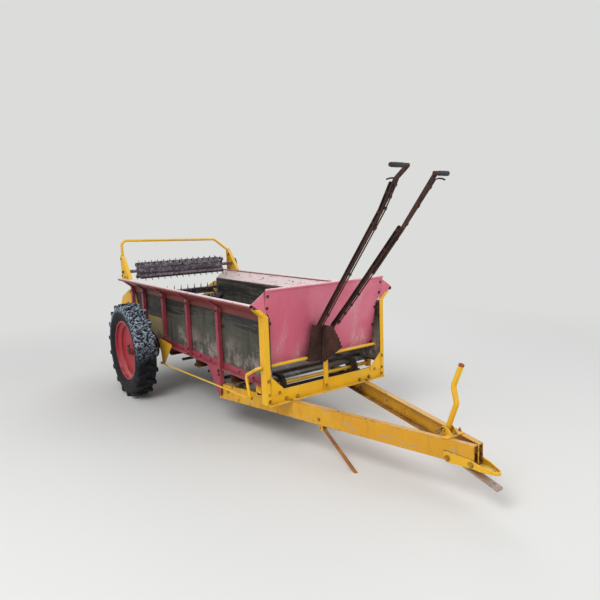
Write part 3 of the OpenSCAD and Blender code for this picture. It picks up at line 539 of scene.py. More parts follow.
# Dark grimy yellow; on the cross members and axle hangers under the box the darkness is also painted shade,
# darker still on faces that look up
GRIME_AND_SHADE = Enamel("yellow_enamel_under_grime", "#3f321b", "#584420", "#2c251b", chips=1.0, edge=0.8, dirt=1.4,
               gloss=0.8)
PLATE = Enamel("pale_yellow_plate", "#ae9850", "#baa462", "#b8a878", chips=0.7, edge=0.7, dirt=1.0, scuff=0.5)
BROWN = Rust("rusted_lever_steel", dark="#331d18", bloom="#5e382b", paint=0.15)
CRUSTED = Rust("crusted_beater_steel", dark="#4c4249", bloom="#796b73", left="#a198a5", paint=0.6)
DARK = Rust("rusted_working_steel", dark="#2c221f", bloom="#5a463a", left="#6a5f66", paint=0.3)
ORANGE = Rust("orange_rusted_rod", dark="#8a5428", bloom="#c38238", left="#cfa03c", paint=0.35)
RUST_RED = Rust("red_brown_rusted_end", dark="#8a3a24", bloom="#b55a34", left="#a04a30", paint=0.3)
STRAP = Rust("rusted_strap_steel", dark="#a78b7a", bloom="#d2b9a6", left="#8b95a1", paint=0.55, rough=0.72)
GRIP = Rust("dark_hand_grip", dark="#22262b", bloom="#3a4148", left="#5a646c", paint=0.1, rough=0.6)
STEEL = BareSteel("worn_shaft_steel")
BOLT = BareSteel("rusty_fastener_steel", "#6d6459", "#4b2d1f", 0.75)
YELLOW_BOLT = Enamel("yellow_painted_fastener", "#c99a18", "#d8aa20", "#c8a650", chips=0.7, edge=0.8,
                     dirt=1.0)
BOARD = Plywood("weathered_film_plywood", film=0.42, pale="#625f57", deep="#3a3833")
FLOOR = Plywood("wet_dark_floor_planks", film=0.0, pale="#6a655f", deep="#2e2822", wet=0.65)


# Stage


@dataclass(frozen=True)
class Lamp:
    """A large square lamp.

    Args:
        name: its name.
        place: where it stands.
        aim: the point that it looks at.
        watts: its power.
        size: its width, in metres.
    """

    name: str
    place: Point
    aim: Point
    watts: float
    size: float = 4.0

    def build(self) -> None:
        """Hangs the lamp, turned towards its aim."""
        data = bpy.data.lights.new(self.name, "AREA")
        data.size, data.energy = self.size, self.watts
        made = bpy.data.objects.new(self.name, data)
        made.location = self.place
        made.rotation_euler = (Vector(self.aim) - Vector(self.place)).to_track_quat("-Z", "Y").to_euler()
        bpy.context.scene.collection.objects.link(made)


@dataclass
class Stage:
    """Floor, light and camera.

    Args:
        pale: colour of the floor.
        seen: colour of the background.
        sky: colour of the light from all round.
        sky_strength: its strength.
        far: half the width of the floor, in metres.
        blend: distances at which the floor starts and ends turning into the background.
        lamps: the key lamp, the fill and the back light.
        eye: place of the camera.
        yaw: heading of the view, from +X towards +Y.
        pitch: rise of the view.
        roll: turn of the picture.
        lens: focal length for a sensor 36 mm wide.
    """

    pale: str = "#dededb"
    seen: str = "#dcdddb"
    sky: str = "#f4f6fa"
    sky_strength: float = 0.6
    far: float = 300.0
    blend: Pair = (3.0, 7.0)
    lamps: tuple[Lamp, ...] = (
        Lamp("key", (3.0, -5.0, 6.5), (0, 0, 0.6), 330),
        Lamp("fill", (6.5, 3.0, 4.0), (0, 0, 0.8), 110),
        Lamp("back", (-5.0, 4.5, 5.5), (-0.5, 0, 0.8), 160),
    )
    eye: Point = (4.4032, -2.6942, 1.7913)
    yaw: float = 2.5242
    pitch: float = -0.1461
    roll: float = -0.0359
    lens: float = 32.47

    def camera(self) -> None:
        """Camera at the photograph's place."""
        level = math.cos(self.pitch)
        ahead = Vector((level * math.cos(self.yaw), level * math.sin(self.yaw), math.sin(self.pitch)))
        right = ahead.cross(Vector((0, 0, 1))).normalized()
        up = right.cross(ahead)
        c, s = math.cos(self.roll), math.sin(self.roll)
        right, up = c * right + s * up, c * up - s * right
        data = bpy.data.cameras.new("camera")
        data.sensor_width, data.lens = 36.0, self.lens
        made = bpy.data.objects.new("camera", data)
        made.matrix_world = Matrix.Translation(self.eye) @ Matrix((right, up, -ahead)).transposed().to_4x4()
        bpy.context.scene.collection.objects.link(made)
        bpy.context.scene.camera = made

    def floor(self) -> None:
        """Plain pale floor, which turns into the background's colour far out."""
        mesh = bpy.data.meshes.new("floor")
        far = self.far
        mesh.from_pydata([(-far, -far, 0), (far, -far, 0), (far, far, 0), (-far, far, 0)], [], [(0, 1, 2, 3)])
        made = bpy.data.objects.new("floor", mesh)
        bpy.context.scene.collection.objects.link(made)
        skin = bpy.data.materials.new("pale_studio_floor")
        skin.use_nodes = True
        tree = skin.node_tree
        shader = tree.nodes["Principled BSDF"]
        shader.inputs["Base Color"].default_value = linear(self.pale)
        shader.inputs["Roughness"].default_value = 0.95
        place = add(tree, "ShaderNodeTexCoord", out="Object")
        radius = add(tree, "ShaderNodeVectorMath", {0: place}, "Value", operation="LENGTH")
        away = add(tree, "ShaderNodeMapRange", {"Value": radius, "From Min": self.blend[0],
                                                "From Max": self.blend[1]}, interpolation_type="SMOOTHSTEP")
        glow = add(tree, "ShaderNodeEmission", {"Color": linear(self.seen), "Strength": 1.0})
        camera = add(tree, "ShaderNodeLightPath", out="Is Camera Ray")
        share = add(tree, "ShaderNodeMath", {0: away, 1: camera}, operation="MULTIPLY")
        mixed = add(tree, "ShaderNodeMixShader", {0: share, 1: shader.outputs[0], 2: glow})
        tree.links.new(mixed, tree.nodes["Material Output"].inputs["Surface"])
        mesh.materials.append(skin)

    def world(self) -> None:
        """Even light from all round, and a pale plain background."""
        world = bpy.data.worlds.new("studio")
        world.use_nodes = True
        tree = world.node_tree
        light = tree.nodes["Background"]
        light.inputs["Color"].default_value = linear(self.sky)
        light.inputs["Strength"].default_value = self.sky_strength
        seen = add(tree, "ShaderNodeBackground", {"Color": linear(self.seen), "Strength": 1.0})
        camera = add(tree, "ShaderNodeLightPath", out="Is Camera Ray")
        glossy = add(tree, "ShaderNodeLightPath", out="Is Glossy Ray")
        either = add(tree, "ShaderNodeMath", {0: camera, 1: glossy}, operation="MAXIMUM")
        mixed = add(tree, "ShaderNodeMixShader", {0: either, 1: light.outputs[0], 2: seen})
        tree.links.new(mixed, tree.nodes["World Output"].inputs["Surface"])
        bpy.context.scene.world = world

    def build(self) -> None:
        """Makes the floor, lamps, world and camera."""
        self.floor()
        self.world()
        for lamp in self.lamps:
            lamp.build()
        self.camera()
        bpy.context.scene.view_settings.view_transform = "Standard"


# Shapes


def piece(name: str, mesh: bpy.types.Mesh, body: str, finish: Finish | None = None,
          stands_for: tuple[str, ...] = ()) -> bpy.types.Object:
    """Puts a finished mesh in the scene.

    Args:
        name: the piece's name.
        mesh: its mesh, with its place in it.
        body: the body it rides on.
        finish: its finish, where the mesh has none yet.
        stands_for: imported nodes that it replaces.

    Returns:
        The new object.
    """
    made = bpy.data.objects.new(name, mesh)
    bpy.context.scene.collection.objects.link(made)
    if finish is not None:
        mesh.materials.append(finish.material())
    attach(made, body)
    if stands_for:
        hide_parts(*stands_for)
    log.info("%s rides on %s, %d faces", name, body, len(mesh.polygons))
    return made


def sweep(bm: Draft, path: list[Vector], radius: float | list[float], sides: int = 12,
          flat: float = 1.0) -> None:
    """Closed round or oval rod along a path.

    Args:
        bm: the mesh that takes it.
        path: points of its middle line.
        radius: its radius, or one for each point.
        sides: faces round it.
        flat: its second radius, as a share of the first.
    """
    radii = radius if isinstance(radius, list) else [radius] * len(path)
    rings = []
    side = Vector((0, 1, 0))
    for i, middle in enumerate(path):
        along = (path[min(i + 1, len(path) - 1)] - path[max(i - 1, 0)]).normalized()
        if abs(along.dot(side)) > 0.9:
            side = Vector((1, 0, 0))
        side = (side - along * side.dot(along)).normalized()
        other = along.cross(side)
        rings.append([bm.verts.new(middle + radii[i] * (math.cos(a) * other * flat + math.sin(a) * side))
                      for a in (2 * math.pi * k / sides for k in range(sides))])
    for low, high in zip(rings, rings[1:]):
        for k in range(sides):
            bm.faces.new((low[k], high[k], high[(k + 1) % sides], low[(k + 1) % sides]))
    bm.faces.new(rings[0])
    bm.faces.new(rings[-1][::-1])


def prism(bm: Draft, near: list[Vector], far: list[Vector]) -> None:
    """Closed prism between two outlines.

    Args:
        bm: the mesh that takes it.
        near: points of the first outline.
        far: as many points of the second one.
    """
    rows = [[bm.verts.new(point) for point in outline] for outline in (near, far)]
    for k in range(len(near)):
        m = (k + 1) % len(near)
        bm.faces.new((rows[0][k], rows[0][m], rows[1][m], rows[1][k]))
    bm.faces.new(rows[0][::-1])
    bm.faces.new(rows[1])


def bar(bm: Draft, profile: list[Pair], middle: Pair, turn: float, start: float, end: float) -> None:
    """Closed bar across the machine, its profile turned about an axis.

    Args:
        bm: the mesh that takes it.
        profile: its outline: width, and height over the axis, in millimetres.
        middle: the axis, X and Z.
        turn: turn of the height from upright towards the front, in radians.
        start: place of one end.
        end: place of the other.
    """
    c, s = math.cos(turn), math.sin(turn)
    prism(bm, *[[at(middle[0] + u * c + v * s, y, middle[1] - u * s + v * c) for u, v in profile]
                for y in (start, end)])


def finished(bm: Draft, name: str, bevel_mm: float = 0.0, smooth: bool = True) -> bpy.types.Mesh:
    """Mesh of what was drawn, its edges rounded and its faces outward.

    Args:
        bm: what was drawn; it is freed.
        name: the mesh's name.
        bevel_mm: width of the rounded edges.
        smooth: whether faces shade smoothly over shallow edges.

    Returns:
        The new mesh.
    """
    if bevel_mm:
        sharp = [edge for edge in bm.edges if len(edge.link_faces) == 2 and edge.calc_face_angle(0) > 0.6]
        bmesh.ops.bevel(bm, geom=sharp, offset=bevel_mm * MM, segments=2, affect="EDGES", clamp_overlap=True)
    bmesh.ops.recalc_face_normals(bm, faces=bm.faces)
    mesh = bpy.data.meshes.new(name)
    bm.to_mesh(mesh)
    bm.free()
    if smooth:
        mesh.set_sharp_from_angle(angle=0.6)
        mesh.shade_smooth()
    return mesh


@dataclass(frozen=True)
class Station:
    """Place of one repeated shape.

    Args:
        body: the body it rides on.
        place: where it sits.
        facing: where its own Z looks.
        along: where its own X looks.
        size: its size, as a share of the shape's.
    """

    body: str
    place: Vector
    facing: Vector
    along: Vector
    size: float = 1.0


@dataclass
class Repeat:
    """A small shape repeated at many places by Geometry Nodes, one mesh for each body.

    Args:
        name: the pieces' name.
        finish: their finish.
        sizes: the tree's named sizes, in metres or as plain numbers.
        stations: where the shapes sit.
        stands_for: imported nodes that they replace.
    """

    name: str
    finish: Finish
    sizes: dict[str, float]
    stations: list[Station] = field(default_factory=list)
    stands_for: tuple[str, ...] = ()

    def shape(self, tree: Tree) -> list[Socket]:
        """Meshes of one shape, drawn by nodes.

        Args:
            tree: the shape's tree.

        Returns:
            The meshes that together make one shape.
        """
        raise NotImplementedError

    def size(self, tree: Tree, name: str, factor: float = 1.0) -> Socket:
        """A named size of the tree, times a factor."""
        value = add(tree, "NodeGroupInput", out=name)
        return add(tree, "ShaderNodeMath", {0: value, 1: factor}, operation="MULTIPLY")

    def moved(self, tree: Tree, mesh: Socket, x: Socket | float = 0.0, y: Socket | float = 0.0,
              z: Socket | float = 0.0, turn: Point = (0, 0, 0), scale: Point = (1, 1, 1)) -> Socket:
        """A mesh of the shape, turned and put in its place.

        Args:
            tree: the shape's tree.
            mesh: the mesh.
            x: its place along X.
            y: its place along Y.
            z: its place along Z.
            turn: its turn.
            scale: its stretch along each axis.

        Returns:
            The moved mesh.
        """
        place = add(tree, "ShaderNodeCombineXYZ", {0: x, 1: y, 2: z})
        return add(tree, "GeometryNodeTransform", {"Geometry": mesh, "Translation": place, "Rotation": turn,
                                                   "Scale": scale})

    def tree(self) -> Tree:
        """Tree that puts the shape on each point, turned by the point's directions.

        Returns:
            The tree, with an input for each of the named sizes.
        """
        tree = bpy.data.node_groups.new(self.name, "GeometryNodeTree")
        tree.interface.new_socket("Geometry", in_out="INPUT", socket_type="NodeSocketGeometry")
        for label in self.sizes:
            tree.interface.new_socket(label, in_out="INPUT", socket_type="NodeSocketFloat")
        tree.interface.new_socket("Geometry", in_out="OUTPUT", socket_type="NodeSocketGeometry")
        points = add(tree, "GeometryNodeMeshToPoints", {"Mesh": add(tree, "NodeGroupInput", out="Geometry")})
        facing = add(tree, "GeometryNodeInputNamedAttribute", {"Name": "facing"}, data_type="FLOAT_VECTOR")
        along = add(tree, "GeometryNodeInputNamedAttribute", {"Name": "along"}, data_type="FLOAT_VECTOR")
        size = add(tree, "GeometryNodeInputNamedAttribute", {"Name": "size"}, data_type="FLOAT")
        turn = add(tree, "FunctionNodeAlignRotationToVector", {"Vector": facing}, axis="Z")
        turn = add(tree, "FunctionNodeAlignRotationToVector", {"Rotation": turn, "Vector": along}, axis="X",
                   pivot_axis="Z")
        shape = add(tree, "GeometryNodeJoinGeometry", {"Geometry": self.shape(tree)})
        placed = add(tree, "GeometryNodeInstanceOnPoints", {"Points": points, "Instance": shape,
                                                            "Rotation": turn, "Scale": size})
        real = add(tree, "GeometryNodeRealizeInstances", {"Geometry": placed})
        dressed = add(tree, "GeometryNodeSetMaterial", {"Geometry": real, "Material": self.finish.material()})
        add(tree, "NodeGroupOutput", {"Geometry": dressed})
        return tree

    def build(self) -> None:
        """Makes one plain mesh for each body that has stations."""
        tree = self.tree()
        bodies = sorted({station.body for station in self.stations})
        for body in bodies:
            here = [station for station in self.stations if station.body == body]
            mesh = bpy.data.meshes.new("stations")
            mesh.from_pydata([station.place for station in here], [], [])
            for label in ("facing", "along"):
                values = [part for station in here for part in getattr(station, label)]
                mesh.attributes.new(label, "FLOAT_VECTOR", "POINT").data.foreach_set("vector", values)
            mesh.attributes.new("size", "FLOAT", "POINT").data.foreach_set("value", [s.size for s in here])
            points = bpy.data.objects.new("stations", mesh)
            bpy.context.scene.collection.objects.link(points)
            modifier = points.modifiers.new("repeat", "NODES")
            modifier.node_group = tree
            for item in tree.interface.items_tree:
                if item.in_out == "INPUT" and item.name in self.sizes:
                    modifier[item.identifier] = self.sizes[item.name]
            done = points.evaluated_get(bpy.context.evaluated_depsgraph_get())
            made = bpy.data.meshes.new_from_object(done)
            bpy.data.objects.remove(points)
            name = self.name if len(bodies) == 1 else f"{self.name}_{body}"
            piece(name, made, body, stands_for=self.stands_for if body == bodies[0] else ())


@dataclass
class HexBolts(Repeat):
    """Hexagon bolt heads on round washers."""

    sizes: dict[str, float] = field(default_factory=lambda: {"Head radius": 0.011, "Head height": 0.008,
                                                             "Washer radius": 0.014, "Washer height": 0.0025})

    def shape(self, tree: Tree) -> list[Socket]:
        """Washer, head with its corners taken down, and the end of the thread.

        Args:
            tree: the shape's tree.

        Returns:
            The three meshes.
        """
        washer = add(tree, "GeometryNodeMeshCylinder", {
            "Vertices": 16, "Radius": self.size(tree, "Washer radius"),
            "Depth": self.size(tree, "Washer height")})
        head, thread = [add(tree, "GeometryNodeMeshCone", {
            "Vertices": sides, "Radius Bottom": self.size(tree, "Head radius", foot),
            "Radius Top": self.size(tree, "Head radius", top), "Depth": self.size(tree, "Head height", high)})
            for sides, foot, top, high in ((6, 1.0, 0.86, 1.0), (10, 0.5, 0.42, 1.4))]
        return [washer, head, thread]


@dataclass
class DomeHeads(Repeat):
    """Round heads of carriage bolts and rivets."""

    sizes: dict[str, float] = field(default_factory=lambda: {"Head radius": 0.011, "Head height": 0.005})

    def shape(self, tree: Tree) -> list[Socket]:
        """Low dome in two steps.

        Args:
            tree: the shape's tree.

        Returns:
            The lower step and the upper one.
        """
        low, high = [add(tree, "GeometryNodeMeshCone", {
            "Vertices": 12, "Radius Bottom": self.size(tree, "Head radius", foot),
            "Radius Top": self.size(tree, "Head radius", top), "Depth": self.size(tree, "Head height", high)})
            for foot, top, high in ((1.0, 0.8, 0.6), (0.8, 0.35, 0.4))]
        return [low, self.moved(tree, high, z=self.size(tree, "Head height", 0.6))]


@dataclass
class WeldDrops(Repeat):
    """Overlapping drops of a weld."""

    sizes: dict[str, float] = field(default_factory=lambda: {"Drop radius": 0.0055})

    def shape(self, tree: Tree) -> list[Socket]:
        """Flattened drop, longer across the seam.

        Args:
            tree: the shape's tree.

        Returns:
            The drop.
        """
        radius = self.size(tree, "Drop radius")
        drop = add(tree, "GeometryNodeMeshIcoSphere", {"Radius": radius, "Subdivisions": 1})
        return [self.moved(tree, drop, scale=(0.8, 1.2, 0.6))]


@dataclass
class ChainLinks(Repeat):
    """Links of a chain with offset side bars; X runs along the chain and Y across it."""

    name: str = "drive_chain_links"
    finish: Finish = DARK
    sizes: dict[str, float] = field(default_factory=lambda: {"Pitch": 0.015875, "Bar height": 0.013,
                                                             "Bar thickness": 0.0015, "Width": 0.0112})

    def shape(self, tree: Tree) -> list[Socket]:
        """Two side bars with round ends, set in at their rear end, a barrel and a pin.

        Args:
            tree: the shape's tree.

        Returns:
            The meshes of one link.
        """
        thick = self.size(tree, "Bar thickness")
        made = []
        for side in (-1, 1):
            bar = add(tree, "ShaderNodeCombineXYZ", {0: self.size(tree, "Pitch"), 1: thick,
                                                     2: self.size(tree, "Bar height", 0.8)})
            made.append(self.moved(tree, add(tree, "GeometryNodeMeshCube", {"Size": bar}),
                                   y=self.size(tree, "Width", 0.43 * side)))
            for end, reach in ((-1, 0.36), (1, 0.5)):
                boss = add(tree, "GeometryNodeMeshCylinder", {
                    "Vertices": 10, "Radius": self.size(tree, "Bar height", 0.5), "Depth": thick})
                made.append(self.moved(tree, boss, self.size(tree, "Pitch", 0.5 * end),
                                       self.size(tree, "Width", reach * side), turn=(math.pi / 2, 0, 0)))
        for share, length in ((0.32, 0.72), (0.18, 1.2)):
            rod = add(tree, "GeometryNodeMeshCylinder", {
                "Vertices": 10, "Radius": self.size(tree, "Bar height", share),
                "Depth": self.size(tree, "Width", length)})
            made.append(self.moved(tree, rod, self.size(tree, "Pitch", 0.5), turn=(math.pi / 2, 0, 0)))
        return made


@dataclass
class Teeth(Repeat):
    """Sprocket teeth, which taper outwards."""

    name: str = "sprocket_teeth"
    finish: Finish = DARK
    sizes: dict[str, float] = field(default_factory=lambda: {"Tooth height": 0.011, "Tooth radius": 0.0055})

    def shape(self, tree: Tree) -> list[Socket]:
        """Four-sided tooth with a blunt tip.

        Args:
            tree: the shape's tree.

        Returns:
            The tooth.
        """
        tooth = add(tree, "GeometryNodeMeshCone", {
            "Vertices": 4, "Radius Bottom": self.size(tree, "Tooth radius"),
            "Radius Top": self.size(tree, "Tooth radius", 0.35), "Depth": self.size(tree, "Tooth height")})
        return [self.moved(tree, tooth, turn=(0, 0, math.pi / 4))]


@dataclass
class Tines(Repeat):
    """Flat pointed teeth of the beaters; tip and thickness are shares of the half width and the width."""

    finish: Finish = DARK
    sizes: dict[str, float] = field(default_factory=lambda: {"Height": 0.05, "Half width": 0.016, "Tip": 0.3,
                                                             "Thickness": 0.3})

    def shape(self, tree: Tree) -> list[Socket]:
        """Four-sided spike, thinner along the bar than across it.

        Args:
            tree: the shape's tree.

        Returns:
            The spike.
        """
        half, share = self.size(tree, "Half width"), self.size(tree, "Tip")
        tip = add(tree, "ShaderNodeMath", {0: half, 1: share}, operation="MULTIPLY")
        spike = add(tree, "GeometryNodeMeshCone", {"Vertices": 4, "Radius Bottom": half, "Radius Top": tip,
                                                   "Depth": self.size(tree, "Height")})
        turned = self.moved(tree, spike, turn=(0, 0, math.pi / 4))
        flat = add(tree, "ShaderNodeCombineXYZ", {0: 1.0, 1: self.size(tree, "Thickness"), 2: 1.0})
        return [add(tree, "GeometryNodeTransform", {"Geometry": turned, "Scale": flat})]


# Sub-assemblies


def pivot(joint: str) -> Pair:
    """Middle of a joint, X and Z in millimetres ahead of the box and above the ground."""
    x, _, z = next(row["pos_m"] for row in frame["joints"] if row["name"] == joint)
    return ((x - DATUM) / MM, z / MM)


# Axes of what turns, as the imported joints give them
AXLE = pivot("wheel_right_spin")
MAIN = pivot("main_beater_spin")
UPPER = pivot("upper_beater_spin")
SPREAD = pivot("wide_spread_spin")
LEVER_FOOT = pivot("drive_lever_swing")

# Sizes that more than one sub-assembly uses, in millimetres as part.scad has them
BOX_LENGTH = 3105.0
STAKES = tuple(-share * BOX_LENGTH for share in (0.254, 0.46, 0.657, 0.845, 0.962))
WHEEL_Y = 897.0
# Distance of the drive chains from the centre line, low and at the upper beater
DRIVE_Y = 647.0
UPPER_DRIVE_Y = 745.0
# Both levers' outlines are shares of this height over the cross shaft
LEVER_HEIGHT = 1425.0
# A drawbar arm's outer face in plan
ARM_FACE = 409.0
ARM_SLOPE = 0.25034


def arm_face(x: float, out: float = 0.0) -> float:
    """Place across the machine of a drawbar arm's outer face, or of what stands out from it."""
    return ARM_FACE + out - ARM_SLOPE * x


def lever_point(x: float, y: float, z: float) -> Point:
    """Point of a lever in millimetres, from shares of its height."""
    return (LEVER_FOOT[0] + LEVER_HEIGHT * x, y, LEVER_FOOT[1] + LEVER_HEIGHT * z)


@dataclass
class Dresser:
    """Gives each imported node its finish.

    Args:
        finishes: for each finish, the nodes that take it.
        sprocket: how far from its axis the front shaft's sprockets start, in metres.
    """

    finishes: dict[Finish, tuple[str, ...]] = field(default_factory=lambda: {
        ARM_YELLOW: ("drawbar_arm_right", "drawbar_arm_left"),
        YELLOW: ("hitch_nose", "front_sill", "front_post_right", "front_post_left", "centre_post",
                 "rear_plate_right", "rear_plate_left", "hoop", "hoop_leg_right", "hoop_leg_left",
                 "apron_bearings", "apron_front_shaft", "cross_shaft", "drive_rod", "bell_crank",
                 "tongue_stand", "stand_bracket", "leg_bracket"),
        # The parts under the box are darkened: grime and painted shade
        GRIME_AND_SHADE: ("cross_members", "axle_hangers"),
        ORANGE: ("parking_leg",),
        PLATE: ("axle_side_plates",),
        RED: ("bottom_rail_right", "bottom_rail_left", "side_stakes_right", "side_stakes_left"),
        FLARE: ("flareboard_right", "flareboard_left"),
        PANEL: ("front_panel", "panel_wing_right", "panel_wing_left"),
        RIM: ("wheel_rim_right", "wheel_rim_left"),
        BOARD: ("side_board_right", "side_board_left"),
        FLOOR: ("floor_boards",),
        DARK: ("apron", "main_beater", "upper_beater", "wide_spread_rotor", "drive_chains"),
        BROWN: ("quadrant", "lever_right", "lever_left"),
        STRAP: ("hitch_strap",),
        STEEL: ("axle_shaft", "apron_rear_shaft"),
    })
    sprocket: float = 0.022

    def build(self) -> None:
        """Assigns the finishes to the nodes."""
        for finish, names in self.finishes.items():
            for name in names:
                self.dress(name, finish)
        for side in Side:
            low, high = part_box(side.node("tyre"))
            rubber = TyreRubber(side.node("old_tyre_rubber"), tuple((low + high) / 2))
            self.dress(side.node("tyre"), rubber)
        # The front shaft is enamelled, but its sprockets are worn bare
        shaft = frame["nodes"]["apron_front_shaft"].data
        shaft.materials.append(DARK.material())
        axis = at(Chains.front, 0, Chains.level)
        for face in shaft.polygons:
            reach = (face.center - axis) * Vector((1, 0, 1))
            face.material_index = int(reach.length > self.sprocket)

    def dress(self, name: str, finish: Finish) -> None:
        """Gives one node one finish.

        Args:
            name: the node.
            finish: what it wears.
        """
        mesh = frame["nodes"][name].data
        mesh.materials.clear()
        mesh.materials.append(finish.material())
        log.info("%s wears %s", name, finish.name)


@dataclass(frozen=True)
class Row:
    """Fasteners of one size that look one way.

    Args:
        facing: where they look, on the left side.
        size: their size, as a share of the shape's.
        places: where they sit, in millimetres, on the left side.
        mirrored: whether the right side has them too.
        body: the body they ride on.
    """

    facing: Point
    size: float
    places: tuple[Point, ...]
    mirrored: bool = True
    body: str = "root"

    def stations(self) -> list[Station]:
        """Stations of the row, right side first.

        Returns:
            One station for each fastener.
        """
        made = []
        for x, y, z in self.places:
            for side in (Side if self.mirrored else (Side.LEFT,)):
                look = Vector(side.mirror(self.facing)).normalized()
                # A head is turned a little from the frame's lines
                along = Vector((0.9, 0.2, 0.4)) - look * 0.1
                if self.mirrored:
                    along = Vector((0.3, 1, 0.2)) if abs(look.y) < 0.7 else Vector((1, 0, 0.35))
                made.append(Station(self.body, at(*side.mirror((x, y, z))), look, along, self.size))
        return made


def joined(rows: list[Row]) -> list[Station]:
    """Stations of several rows."""
    return [station for row in rows for station in row.stations()]


FORE, OUT, IN, UP = (1, 0, 0), (0, 1, 0), (0, -1, 0), (0, 0, 1)


@dataclass
class Fasteners:
    """Bolts of the frame, box, levers and wheels.

    Args:
        lean: turn of the front panel from upright, in radians.
        panel_foot: place of the front panel's face at its foot, X and Z in millimetres.
        board: inner and outer face of a side board, from the centre line.
        rail: outer face of a bottom rail.
        stake: outer face of a side stake.
        plate: outer face of a rear plate.
        hoop_leg: outer face of a hoop's leg.
        flange: radius of the bolts round a shaft's bearing.
        flare: lower edge of a flareboard, Y and Z.
        flare_bolt: place of its bolts, up its slope and out from it.
        hub: radius of the nuts on a wheel's hub.
        hub_face: place of the nuts, out from the wheel's middle.
    """

    lean: float = 0.1919
    panel_foot: Pair = (-104.0, 655.0)
    board: Pair = (556.0, 575.0)
    rail: float = 581.0
    stake: float = 615.0
    plate: float = 580.0
    hoop_leg: float = 714.3
    flange: float = 48.0
    flare: Pair = (579.0, 1075.0)
    flare_bolt: Pair = (90.0, 4.0)
    hub: float = 46.0
    hub_face: float = 30.0

    def frame_bolts(self) -> list[Row]:
        """Yellow bolts of the sill, posts, drawbar and rear.

        Returns:
            Their rows.
        """
        square_to_arm = (ARM_SLOPE, 1, 0)
        # The nose's plate is 9 mm thick on the arm
        nose = tuple((x, arm_face(x, 9), z) for x, z in ((1288, 274), (1436, 270)))
        arm = tuple((x, arm_face(x), z) for x, z in ((-150, 330), (-420, 330), (-700, 330), (278, 300)))
        hoop_leg = tuple((x, self.hoop_leg, z) for x, z in ((-2965, 1418), (-2962, 1222), (-2868, 1214),
                                                            (-2785, 1212)))
        axle_plate = tuple((x, self.plate - 1, z) for x, z in ((-2622, 688), (-2540, 612), (-2132, 612),
                                                               (-2132, 775), (-2622, 770)))
        bearings = tuple((x + self.flange * math.cos(a), self.plate, z + self.flange * math.sin(a))
                         for x, z in (MAIN, SPREAD) for a in map(math.radians, (30, 150, 270)))
        rear_plate = tuple((x, self.plate, z) for x, z in ((-2885, 700), (-2985, 1010), (-3140, 1000)))
        return [
            Row(FORE, 1.25, ((-5, 437, 418), (-5, 329, 411))),
            Row(FORE, 1.05, ((0, 594, 583), (0, 588, 476), (0, 590, 421), (0, 502, 476))),
            Row(FORE, 1.2, ((7, -43, 733),), mirrored=False),
            Row(FORE, 1.0, ((7, -43, 446),), mirrored=False),
            Row(UP, 1.1, ((15, 397, 395),)),
            Row(square_to_arm, 1.45, nose),
            Row(square_to_arm, 1.1, arm),
            Row(OUT, 1.1, hoop_leg),
            Row(OUT, 1.1, axle_plate),
            Row(OUT, 1.2, ((-2310, 583, 508), (-2194, 583, 508))),
            Row(OUT, 0.95, bearings),
            Row(OUT, 1.0, rear_plate),
            Row(UP, 0.9, ((1266, -16, 396), (1266, 16, 396)), mirrored=False),
        ]

    def box_bolts(self) -> list[Row]:
        """Rusty bolts of the stakes, rails and front panel.

        Returns:
            Their rows.
        """
        foot_x, foot_z = self.panel_foot
        panel = tuple((foot_x + math.tan(self.lean) * (z - foot_z), y, z)
                      for y, z in ((577, 1146), (577, 1238), (543, 1020), (543, 860), (543, 700)))
        rail_x = (-250, -480, -1010, -1220, -1640, -1850, -2250, -2440, -2790)
        return [
            Row(OUT, 1.2, ((STAKES[0], self.stake + 5, 512), (STAKES[0], self.stake + 5, 474))),
            Row(OUT, 1.1, tuple((x, self.stake, z) for x in STAKES[1:] for z in (546, 594))),
            Row(OUT, 0.9, tuple((x, self.stake, 1040) for x in STAKES)),
            Row(OUT, 0.85, tuple((x, self.rail, 556) for x in rail_x)),
            Row((math.cos(self.lean), 0, -math.sin(self.lean)), 0.95, panel),
        ]

    def lever_bolts(self) -> list[Row]:
        """Bolts that join each lever's channel and bar.

        Returns:
            A row for each lever.
        """
        right = ((0.512, 0.752), (0.552, 0.801), (0.607, 0.889))
        left = ((0.417, 0.527), (0.5, 0.619), (0.585, 0.711))
        return [Row(IN, 0.9, tuple(lever_point(x, y, z) for x, z in shares), mirrored=False, body=body)
                for shares, y, body in ((right, -128, "drive_lever"), (left, -2, "apron_lever"))]

    def board_heads(self) -> list[Row]:
        """Round heads inside and outside the boards, at the stakes, behind the posts and on the flares.

        Returns:
            Their rows.
        """
        slope, out = self.flare_bolt
        post = ((-165, 823), (-175, 774), (-150, 640), (-150, 990))
        flare_y, flare_z = self.flare[0] + 0.8 * slope - 0.6 * out, self.flare[1] + 0.6 * slope + 0.8 * out
        return [
            Row(IN, 1.0, tuple((x, self.board[0], z) for x in STAKES[:-1] for z in (610, 800, 990))),
            Row(OUT, 0.8, tuple((x, self.board[1], z) for x, z in post)),
            Row((0, -0.6, 0.8), 1.0, tuple((x, flare_y, flare_z) for x in STAKES[:-1])),
        ]

    def hub_nuts(self) -> list[Station]:
        """Stations of the nuts on the wheels' hubs, six on each.

        Returns:
            One station for each nut.
        """
        made = []
        for side in Side:
            for a in map(math.radians, range(15, 375, 60)):
                place = at(AXLE[0] + self.hub * math.cos(a), side.value * (WHEEL_Y + self.hub_face),
                           AXLE[1] + self.hub * math.sin(a))
                made.append(Station(side.node("wheel"), place, Vector((0, side.value, 0)),
                                    Vector((math.cos(a), 0, math.sin(a))), 1.15))
        return made

